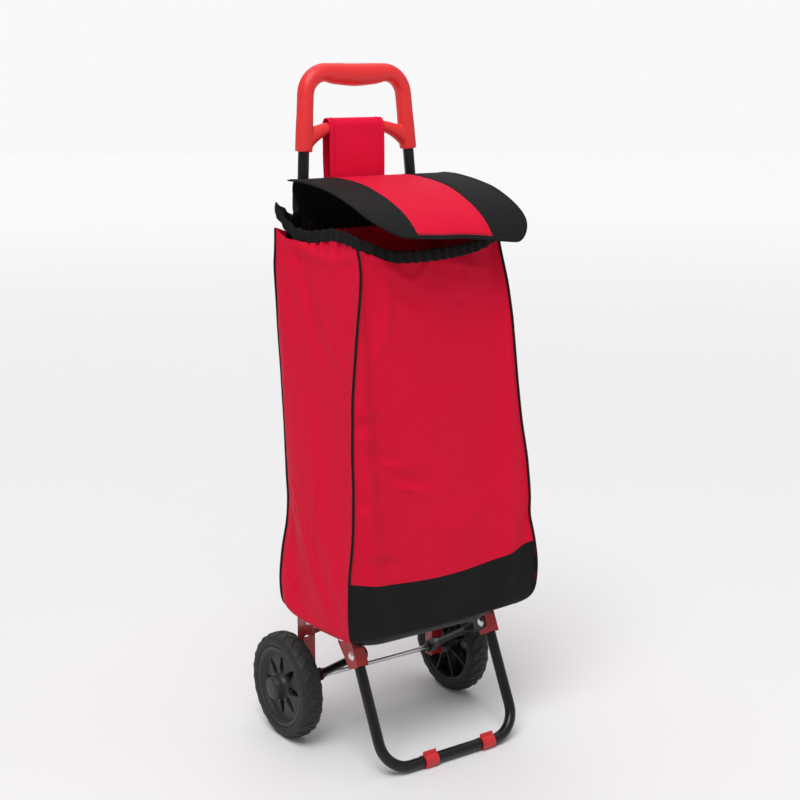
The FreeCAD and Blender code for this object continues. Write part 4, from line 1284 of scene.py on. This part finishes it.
def makeHandle():
    s = handleSizes
    lean = math.degrees(math.atan2(s["socketX"] - s["shoulderX"], s["gripZ"] - s["socketZ"]))
    stations = []
    way = (math.sin(math.radians(lean)), math.cos(math.radians(lean)))
    half = (90 - lean) / 2
    cut = s["bend"] * math.tan(math.radians(half))
    straight = math.hypot(s["socketX"] - s["shoulderX"], s["gripZ"] - s["socketZ"]) - cut
    for t in np.linspace(0, 1, 9):
        d = straight * t
        wide = s["socketWide"] if t < 0.45 else s["legWide"] + (s["socketWide"] - s["legWide"]) * max(0, 1 - (t - 0.45) * 5)
        stations.append([-s["socketX"] + way[0] * d, s["socketZ"] + way[1] * d, lean, wide, s["depth"]])
    startX, startZ = stations[-1][0], stations[-1][1]
    centreX = startX + s["bend"] * way[1]
    centreZ = startZ - s["bend"] * way[0]
    for t in np.linspace(0, 1, 13)[1:]:
        a = lean + (90 - lean) * t
        wide = s["legWide"] + (s["shoulderWide"] - s["legWide"]) * t
        stations.append([centreX - s["bend"] * math.cos(math.radians(a)), centreZ + s["bend"] * math.sin(math.radians(a)),
                         a, wide, s["depth"] + 0.001 * t])
    gripStart = stations[-1][0]
    for x in np.linspace(gripStart, 0, 11)[1:]:
        u = 1 - abs(x / gripStart)
        ease = u * u * (3 - 2 * u)
        wide = s["gripEnd"] + (s["gripMiddle"] - s["gripEnd"]) * ease
        if u < 0.25:
            wide = s["shoulderWide"] + (wide - s["shoulderWide"]) * (u / 0.25)
        z = s["gripZ"] - 0.0005 - s["dish"] * ease * 0.5 - (wide - s["shoulderWide"]) * 0.30
        stations.append([x, z, 90, wide, s["depth"] + (s["gripDepth"] - s["depth"]) * ease])
    for x, z, tilt, wide, deep in stations[-2::-1]:
        stations.append([-x, z, 180 - tilt, wide, deep])
    loop = sweptRings("handle", stations, 36)
    bar = []
    reach = s["socketX"] - 0.004
    for x in np.linspace(-reach, reach, 33):
        u = abs(x) / reach
        wide = s["barWide"] + (s["barEnd"] - s["barWide"]) * max(0.0, (u - 0.45) / 0.55) ** 2.2
        top = s["barZ"] + s["barWide"] / 2 - s["barDrop"] * u ** 2
        slope = -2 * s["barDrop"] * x / reach ** 2
        bar.append([x, top - wide / 2, 90 - math.degrees(math.atan(slope)), wide, 0.0185 + 0.004 * max(0.0, u - 0.6)])
    bridge = sweptRings("crossBar", bar, 28)
    piece = joinAll([loop, bridge], "handle")
    applyModifier(piece, "REMESH", mode="VOXEL", voxel_size=s["voxel"], adaptivity=0.0)
    applyModifier(piece, "SMOOTH", factor=0.5, iterations=7)
    # sockets are open below, where the uprights go in
    tubes = []
    leanX = math.atan2(0.027, 0.392)
    for side in (-1, 1):
        clearSelection()
        bpy.ops.mesh.primitive_cylinder_add(vertices=40, radius=0.00835, depth=0.024,
                                            location=(side * s["socketX"], 0, s["socketZ"]),
                                            rotation=(0, -side * leanX, 0))
        tube = bpy.context.object
        bpy.ops.object.transform_apply(location=True, rotation=True, scale=True)
        bpy.ops.object.mode_set(mode="EDIT")
        selectWhere(tube, lambda f: abs(f.normal.z) > 0.9, "FACE")
        bpy.ops.mesh.bevel(offset=0.0008, segments=2, affect="EDGES")
        bpy.ops.object.mode_set(mode="OBJECT")
        tubes.append(tube)
    cutter = joinAll(tubes, "cutter")
    pickOnly(piece)
    applyModifier(piece, "BOOLEAN", operation="DIFFERENCE", object=cutter, solver="EXACT")
    bpy.data.objects.remove(cutter)
    for v in piece.data.vertices:
        v.co.y += uprightY(v.co.z)
    smooth(piece, 50)
    return piece


handle = makeHandle()
# the handle and its pips take the red plastic made lighter, which is partly painted light
dress(handle, redPlasticWithPaintedLight, "frame", "red_plastic", "handle")


def makePips():
    s = handleSizes
    clearSelection()
    bpy.ops.mesh.primitive_uv_sphere_add(segments=8, ring_count=5, radius=s["pipRadius"], location=(0, 0, 0))
    pip = bpy.context.object
    bpy.ops.object.mode_set(mode="EDIT")
    bpy.ops.mesh.select_all(action="SELECT")
    bpy.ops.mesh.bisect(plane_co=(0, 0.0001, 0), plane_no=(0, 1, 0), clear_outer=True)
    bpy.ops.mesh.select_all(action="SELECT")
    bpy.ops.transform.resize(value=(1, 0.6, 1))
    bpy.ops.object.mode_set(mode="OBJECT")
    base = np.array([v.co[:] for v in pip.data.vertices])
    faces = [tuple(f.vertices) for f in pip.data.polygons]
    bpy.data.objects.remove(pip)
    # each pip finds the grip's surface in front of and behind it
    target = handle
    verts, polys = [], []
    count = int(s["pipHalf"] * 2 / s["pipGap"])
    for face in (-1, 1):
        for row in range(s["pipRows"]):
            for i in range(count + 1 - row % 2):
                x = -s["pipHalf"] + (i + 0.5 * (row % 2)) * s["pipGap"]
                z = s["gripZ"] - 0.0005 - 0.0090 + row * 0.0034
                start = Vector((x, uprightY(z) + axleY + face * 0.04, z))
                hit, place, normal, index = target.ray_cast(start, Vector((0, -face, 0)))
                if not hit:
                    continue
                turn = Vector((0, -1, 0)).rotation_difference(normal).to_matrix()
                n = len(verts)
                verts += [tuple(place + turn @ Vector(p) - normal * 0.0001) for p in base]
                polys += [tuple(n + k for k in f) for f in faces]
    mesh = bpy.data.meshes.new("gripPips")
    mesh.from_pydata(verts, [], polys)
    piece = bpy.data.objects.new("gripPips", mesh)
    bpy.context.scene.collection.objects.link(piece)
    piece.data.transform(Matrix.Translation((0, -axleY, 0)))
    smooth(piece, 80)
    return piece


gripPips = makePips()
dress(gripPips, redPlasticWithPaintedLight, "frame", "red_plastic")
print("handle made")

# wheels
wheelSizes = {
    "inner": -0.1370, "outer": -0.1700, "axle": (0.0, 0.0, 0.080), "radius": 0.080, "carcass": 0.0782,
    "beads": 0.061, "lugs": 24, "lugHeight": 0.0021, "holes": 8, "holeRadius": 0.0064, "holeAt": 0.0262,
    "holeTip": 0.0452, "ribs": 8,
}


def wheelPoint(x, r, angle):
    # a place on the wheel, the angle measured from straight up towards the front
    cx, cy, cz = wheelSizes["axle"]
    return Vector((x, cy - r * math.sin(angle), cz + r * math.cos(angle)))


def makeTyre():
    s = wheelSizes
    i, o, c = s["inner"], s["outer"], s["carcass"]
    outline = [(i - 0.0022, 0.0606), (i - 0.0004, 0.0622), (i + 0.0002, 0.0655), (i + 0.0004, 0.0692),
               (i - 0.0003, 0.0728), (i - 0.0022, 0.0755), (i - 0.0060, 0.0772), (i - 0.0110, c),
               (o + 0.0165, c + 0.0003), (o + 0.0110, c), (o + 0.0060, 0.0772), (o + 0.0022, 0.0755),
               (o + 0.0003, 0.0728), (o - 0.0004, 0.0692), (o - 0.0002, 0.0655), (o + 0.0004, 0.0622),
               (o + 0.0022, 0.0606), (o + 0.0165, 0.0600)]
    tyre = turned("tyreLeft", outline, s["axle"], steps=96)
    smooth(tyre, 50)
    return tyre


def makeLug():
    # one curved tread lug on the outer shoulder: it starts at the crown and sweeps down the shoulder
    s = wheelSizes
    o, i = s["outer"], s["inner"]
    step = 2 * math.pi / s["lugs"]
    # x, radius of its base, angle along the tyre, width along the tyre
    stations = [(o + 0.0190, 0.0777, -0.10 * step, 0.0050), (o + 0.0155, 0.0778, 0.00 * step, 0.0088),
                (o + 0.0115, 0.0776, 0.14 * step, 0.0112), (o + 0.0078, 0.0772, 0.30 * step, 0.0118),
                (o + 0.0045, 0.0763, 0.44 * step, 0.0110), (o + 0.0020, 0.0748, 0.54 * step, 0.0096),
                (o + 0.0006, 0.0728, 0.60 * step, 0.0078), (o + 0.0001, 0.0704, 0.63 * step, 0.0050)]
    lifts = [(0.0, 1.0), (0.0, 1.0), (-0.10, 1.0), (-0.30, 0.95), (-0.60, 0.80), (-0.85, 0.55), (-1.0, 0.25), (-1.0, 0.05)]
    clearSelection()
    x, r, a, w = stations[0]
    bpy.ops.mesh.primitive_plane_add(size=1.0, location=(0, 0, 0))
    lug = bpy.context.object
    lug.name = "treadLug"
    bpy.ops.object.mode_set(mode="EDIT")
    bpy.ops.mesh.select_all(action="SELECT")
    bpy.ops.mesh.delete(type="ONLY_FACE")
    bpy.ops.object.mode_set(mode="OBJECT")
    corners = []
    high = s["lugHeight"]
    for (x, r, a, w), (side, up) in zip(stations, lifts):
        out = Vector((side, 0, 0)) + wheelPoint(0, 1, a) - wheelPoint(0, 0, a)
        if side:
            out = Vector((side, 0, 0)) + (1 - abs(side) * 0.9) * (wheelPoint(0, 1, a) - wheelPoint(0, 0, a))
        out.normalize()
        half = w / 2 / r
        ring = []
        for sign, level in ((-1, -0.5), (-0.80, up * 0.92), (0.0, up), (0.80, up * 0.92), (1, -0.5)):
            base = wheelPoint(x, r, a + sign * half)
            ring.append(base + out * high * (level if level > 0 else -0.6))
        corners.append(ring)
    bpy.data.objects.remove(lug)
    verts = [tuple(p) for ring in corners for p in ring]
    faces = []
    across = 5
    for k in range(len(corners) - 1):
        for j in range(across - 1):
            faces.append((k * across + j, k * across + j + 1, (k + 1) * across + j + 1, (k + 1) * across + j))
        faces.append((k * across + across - 1, k * across, (k + 1) * across, (k + 1) * across + across - 1))
    faces.append(tuple(range(across)))
    last = (len(corners) - 1) * across
    faces.append(tuple(range(last + across - 1, last - 1, -1)))
    mesh = bpy.data.meshes.new("treadLug")
    mesh.from_pydata(verts, [], faces)
    lug = bpy.data.objects.new("treadLug", mesh)
    bpy.context.scene.collection.objects.link(lug)
    pickOnly(lug)
    bpy.ops.object.mode_set(mode="EDIT")
    bpy.ops.mesh.select_all(action="SELECT")
    bpy.ops.mesh.normals_make_consistent(inside=False)
    bpy.ops.object.mode_set(mode="OBJECT")
    applyModifier(lug, "BEVEL", width=0.00045, segments=2, limit_method="ANGLE")
    return lug


def makeTread(tyre):
    s = wheelSizes
    lug = makeLug()
    outerLugs = spunCopies(lug, s["lugs"], s["axle"], "lugOuter")
    # the inner shoulder has the same lugs, turned round and half a step along
    other = copyOf(lug, "lugOther")
    middle = (s["inner"] + s["outer"]) / 2
    other.data.transform(Matrix.Translation((2 * middle, 0, 0)) @ Matrix.Diagonal((-1, 1, 1, 1)))
    pickOnly(other)
    bpy.ops.object.mode_set(mode="EDIT")
    bpy.ops.mesh.select_all(action="SELECT")
    bpy.ops.mesh.normals_make_consistent(inside=False)
    bpy.ops.object.mode_set(mode="OBJECT")
    innerLugs = spunCopies(other, s["lugs"], s["axle"], "lugInner", offset=math.pi / s["lugs"])
    bpy.data.objects.remove(lug)
    bpy.data.objects.remove(other)
    piece = joinAll([tyre] + outerLugs + innerLugs, "tyreLeft")
    smooth(piece, 40)
    return piece


def makeRim():
    s = wheelSizes
    i, o = s["inner"], s["outer"]
    # flange, dish, web, hub and barrel, all one wall
    outline = [(i, 0.0041), (i, 0.0150), (i - 0.0008, 0.0160), (o + 0.0135, 0.0160), (o + 0.0135, 0.0480),
               (o + 0.0115, 0.0560), (o + 0.0120, 0.0575), (i - 0.0020, 0.0575), (i - 0.0020, 0.0606),
               (i - 0.0030, 0.0612), (o + 0.0030, 0.0612), (o + 0.0012, 0.0604), (o + 0.0008, 0.0585),
               (o + 0.0016, 0.0560), (o + 0.0045, 0.0530), (o + 0.0085, 0.0505), (o + 0.0090, 0.0490),
               (o + 0.0078, 0.0465), (o + 0.0070, 0.0230), (o + 0.0062, 0.0200), (o + 0.0040, 0.0180),
               (o - 0.0046, 0.0168), (o - 0.0050, 0.0160), (o - 0.0050, 0.0041)]
    rim = turned("rimLeft", outline, s["axle"], steps=96)
    applyModifier(rim, "BEVEL", width=0.0006, segments=2, limit_method="ANGLE", angle_limit=math.radians(35))
    # teardrop holes: a round end near the hub and a tip outward
    clearSelection()
    bpy.ops.mesh.primitive_cylinder_add(vertices=28, radius=s["holeRadius"], depth=0.030,
                                        location=(o + 0.010, 0, s["axle"][2] + s["holeAt"]),
                                        rotation=(0, math.pi / 2, 0))
    drop = bpy.context.object
    bpy.ops.object.transform_apply(location=True, rotation=True, scale=True)
    reach = s["holeTip"] - s["holeAt"]
    for v in drop.data.vertices:
        up = v.co.z - (s["axle"][2] + s["holeAt"])
        if up > 0:
            t = up / s["holeRadius"]
            v.co.z = s["axle"][2] + s["holeAt"] + reach * t
            v.co.y *= (1 - 0.30 * t * (1 - t) * 2)
    holes = joinAll(spunCopies(drop, s["holes"], s["axle"], "drop", offset=0.0), "holes")
    bpy.data.objects.remove(drop)
    applyModifier(rim, "BOOLEAN", operation="DIFFERENCE", object=holes, solver="EXACT")
    bpy.data.objects.remove(holes)
    # ribs inside the barrel, one between each two holes
    clearSelection()
    bpy.ops.mesh.primitive_cube_add(size=1.0, location=((i + o) / 2 + 0.0045, 0, s["axle"][2] + 0.0368))
    rib = bpy.context.object
    bpy.ops.transform.resize(value=(0.019, 0.0024, 0.0425))
    bpy.ops.object.transform_apply(location=True, rotation=True, scale=True)
    bpy.ops.object.mode_set(mode="EDIT")
    selectWhere(rib, lambda f: f.normal.x > 0.9, "FACE")
    bpy.ops.mesh.inset(thickness=0.0003)
    bpy.ops.transform.resize(value=(1, 0.7, 0.94))
    bpy.ops.object.mode_set(mode="OBJECT")
    applyModifier(rib, "BEVEL", width=0.0004, segments=2)
    ribs = spunCopies(rib, s["ribs"], s["axle"], "rib", offset=math.pi / s["ribs"])
    bpy.data.objects.remove(rib)
    rim = joinAll([rim] + ribs, "rimLeft")
    smooth(rim, 35)
    return rim


def makeCap():
    s = wheelSizes
    o = s["outer"]
    outline = [(o - 0.0120, 0.0), (o - 0.01195, 0.0060), (o - 0.0119, 0.0128), (o - 0.0112, 0.0150), (o - 0.0098, 0.0168),
               (o - 0.0085, 0.0174), (o + 0.0060, 0.0175), (o + 0.0066, 0.0170), (o + 0.0066, 0.0163),
               (o - 0.0045, 0.0162), (o - 0.0100, 0.0150), (o - 0.0104, 0.0)]
    cap = turned("hubCapLeft", outline, s["axle"], steps=72)
    applyModifier(cap, "BEVEL", width=0.0004, segments=2, limit_method="ANGLE", angle_limit=math.radians(30))
    smooth(cap, 35)
    return cap


tyreLeft = makeTread(makeTyre())
rimLeft = makeRim()
capLeft = makeCap()
tyreRight = mirrored(tyreLeft, "tyreRight")
rimRight = mirrored(rimLeft, "rimRight")
capRight = mirrored(capLeft, "hubCapRight")
for piece, material, body, slotName, node in (
        (tyreLeft, tyreRubber, "wheel_left", "tyre", "tyre_left"),
        (rimLeft, wheelPlastic, "wheel_left", "black_plastic", "rim_left"),
        (capLeft, wheelPlastic, "wheel_left", "black_plastic", "hub_cap_left"),
        (tyreRight, tyreRubber, "wheel_right", "tyre", "tyre_right"),
        (rimRight, wheelPlastic, "wheel_right", "black_plastic", "rim_right"),
        (capRight, wheelPlastic, "wheel_right", "black_plastic", "hub_cap_right")):
    dress(piece, material, body, slotName, node)
print("wheels made")


# finishes of the parts kept from the frame
keptFinishes = {
    "upright_left": blackPaint, "upright_right": blackPaint, "platform_tube": blackPaint, "leg_tube": blackPaint,
    "strut_left": blackPaint, "strut_right": blackPaint, "rear_bracket_left": redPaint,
    "rear_bracket_right": redPaint, "front_bracket_left": redPaint, "front_bracket_right": redPaint,
    "upright_rivets": zinc, "platform_rivets": zinc, "hinge_rivets": zinc, "strut_rivets": zinc,
    "handle_screws": zinc, "axle": zinc, "axle_push_nuts": zinc, "axle_spacers": wheelPlastic,
    "foot_clip_left": clipPlastic, "foot_clip_right": clipPlastic,
}
for name, material in keptFinishes.items():
    for place in nodes[name].material_slots:
        place.material = material
print("kept parts finished")

# the stiffener in the bottom is sewn in, so it goes with the cloth
boardSizes = {"corner": 0.012, "edge": 0.0006}


def makeBoard():
    low, high = (Vector(v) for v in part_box("base_board"))
    size = high - low
    clearSelection()
    bpy.ops.mesh.primitive_cube_add(size=1, location=(low + high) / 2)
    piece = bpy.context.object
    piece.name = "bottomBoard"
    piece.scale = size
    settle(piece)
    corners = piece.modifiers.new("corners", "BEVEL")
    corners.affect = "EDGES"
    corners.limit_method = "ANGLE"
    corners.width = boardSizes["edge"]
    corners.segments = 2
    bpy.context.view_layer.objects.active = piece
    bpy.ops.object.modifier_apply(modifier="corners")
    smooth(piece, 40)
    piece.data.materials.clear()
    piece.data.materials.append(board)
    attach(piece, "frame")
    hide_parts("base_board")
    return piece


bottomBoard = makeBoard()

# the bag, piping, hem, hood, board and flap pieces each get a mesh of their own
for piece in bagPieces + pipingPieces + [hem, hood, bottomBoard]:
    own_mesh(piece)
for piece in flapPanels + [flapBinding] + flapTrim:
    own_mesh(piece)

# floor, light and camera
stageSizes = {"radius": 16.0, "paper": (0.760, 0.755, 0.759), "near": 1.2, "far": 9.0, "glowNear": 0.015, "glowFar": 0.13}


def makeFloor():
    s = stageSizes
    clearSelection()
    bpy.ops.mesh.primitive_circle_add(vertices=96, radius=s["radius"], fill_type="NGON", location=(0, 0, 0))
    floor = bpy.context.object
    floor.name = "studioFloor"
    bpy.ops.object.mode_set(mode="EDIT")
    bpy.ops.mesh.select_all(action="SELECT")
    bpy.ops.mesh.inset(thickness=s["radius"] * 0.85)
    bpy.ops.object.mode_set(mode="OBJECT")
    material, tree, shader, coords = startMaterial("palePaper", {
        "Roughness": 0.8, "Specular IOR Level": 0.1, "Emission Strength": 1.0})
    tone = placeGroup(tree, mottle, Scale=1.2, Color=(*s["paper"], 1), Amount=0.015, Rough=0.8, Spread=0.02)
    tree.links.new(coords.outputs["Object"], tone.inputs["Vector"])
    tree.links.new(tone.outputs["Color"], shader.inputs["Base Color"])
    # the paper brightens away from the object, so that no edge shows behind it
    away = addNode(tree, "ShaderNodeVectorMath", operation="LENGTH")
    ramp = addNode(tree, "ShaderNodeMapRange", interpolation_type="SMOOTHSTEP")
    for name, value in (("From Min", s["near"]), ("From Max", s["far"]), ("To Min", s["glowNear"]), ("To Max", s["glowFar"])):
        ramp.inputs[name].default_value = value
    tree.links.new(coords.outputs["Object"], away.inputs[0])
    tree.links.new(away.outputs["Value"], ramp.inputs["Value"])
    tree.links.new(ramp.outputs["Result"], shader.inputs["Emission Color"])
    floor.data.materials.append(material)
    return floor


floor = makeFloor()

lightSizes = {
    # direction it comes from, spread in degrees, strength
    "key": ((-1.35, -1.10, 2.9), 34, 1.55),
    "top": ((0.2, 0.4, 3.0), 75, 1.00),
    "fill": ((2.2, -2.4, 1.4), 60, 0.14),
    "rear": ((1.2, 2.6, 1.8), 50, 0.30),
}
for name, (place, spread, strength) in lightSizes.items():
    data = bpy.data.lights.new(name + "Light", "SUN")
    data.angle = math.radians(spread)
    data.energy = strength
    lamp = bpy.data.objects.new(name + "Light", data)
    lamp.location = place
    lamp.rotation_euler = (-Vector(place)).to_track_quat("-Z", "Y").to_euler()
    bpy.context.scene.collection.objects.link(lamp)

# a soft box above the handle, so that the upper half is a little brighter
boxSizes = {"place": (-0.55, -1.05, 2.0), "aim": (0, 0, 0.75), "wide": 1.1, "power": 6.5}
data = bpy.data.lights.new("softBox", "AREA")
data.size = boxSizes["wide"]
data.energy = boxSizes["power"]
lamp = bpy.data.objects.new("softBox", data)
lamp.location = Vector(boxSizes["place"]) + Vector((0, axleY, 0))
lamp.rotation_euler = (Vector(boxSizes["aim"]) - Vector(boxSizes["place"])).to_track_quat("-Z", "Y").to_euler()
bpy.context.scene.collection.objects.link(lamp)

world = bpy.data.worlds.new("studioAir")
bpy.context.scene.world = world
world.use_nodes = True
air = world.node_tree
background = air.nodes["Background"]
background.inputs["Color"].default_value = (0.98, 0.985, 1.0, 1)
background.inputs["Strength"].default_value = 0.30
seen = air.nodes.new("ShaderNodeBackground")
seen.inputs["Color"].default_value = (0.945, 0.945, 0.945, 1)
seen.inputs["Strength"].default_value = 1.0
rays = air.nodes.new("ShaderNodeLightPath")
blendAir = air.nodes.new("ShaderNodeMixShader")
air.links.new(rays.outputs["Is Camera Ray"], blendAir.inputs[0])
air.links.new(background.outputs[0], blendAir.inputs[1])
air.links.new(seen.outputs[0], blendAir.inputs[2])
air.links.new(blendAir.outputs[0], air.nodes["World Output"].inputs["Surface"])

cameraSizes = {"place": (-1.2211, -1.8153, 0.9753), "right": (0.8187, -0.5742, 0.0), "back": (-0.5609, -0.7996, 0.2146),
               "roll": -0.05, "lens": 67.6}
data = bpy.data.cameras.new("studioCamera")
data.lens = cameraSizes["lens"]
data.sensor_width = 36.0
data.sensor_fit = "HORIZONTAL"
data.clip_end = 60
camera = bpy.data.objects.new("studioCamera", data)
back = Vector(cameraSizes["back"]).normalized()
right = Vector(cameraSizes["right"]).normalized()
up = back.cross(right)
turnMatrix = Matrix((right, up, back)).transposed().to_4x4() @ Matrix.Rotation(math.radians(cameraSizes["roll"]), 4, "Z")
camera.matrix_world = Matrix.Translation(Vector(cameraSizes["place"]) + Vector((0, axleY, 0))) @ turnMatrix
bpy.context.scene.collection.objects.link(camera)
bpy.context.scene.camera = camera
bpy.context.scene.view_settings.view_transform = "Standard"
print("stage set")
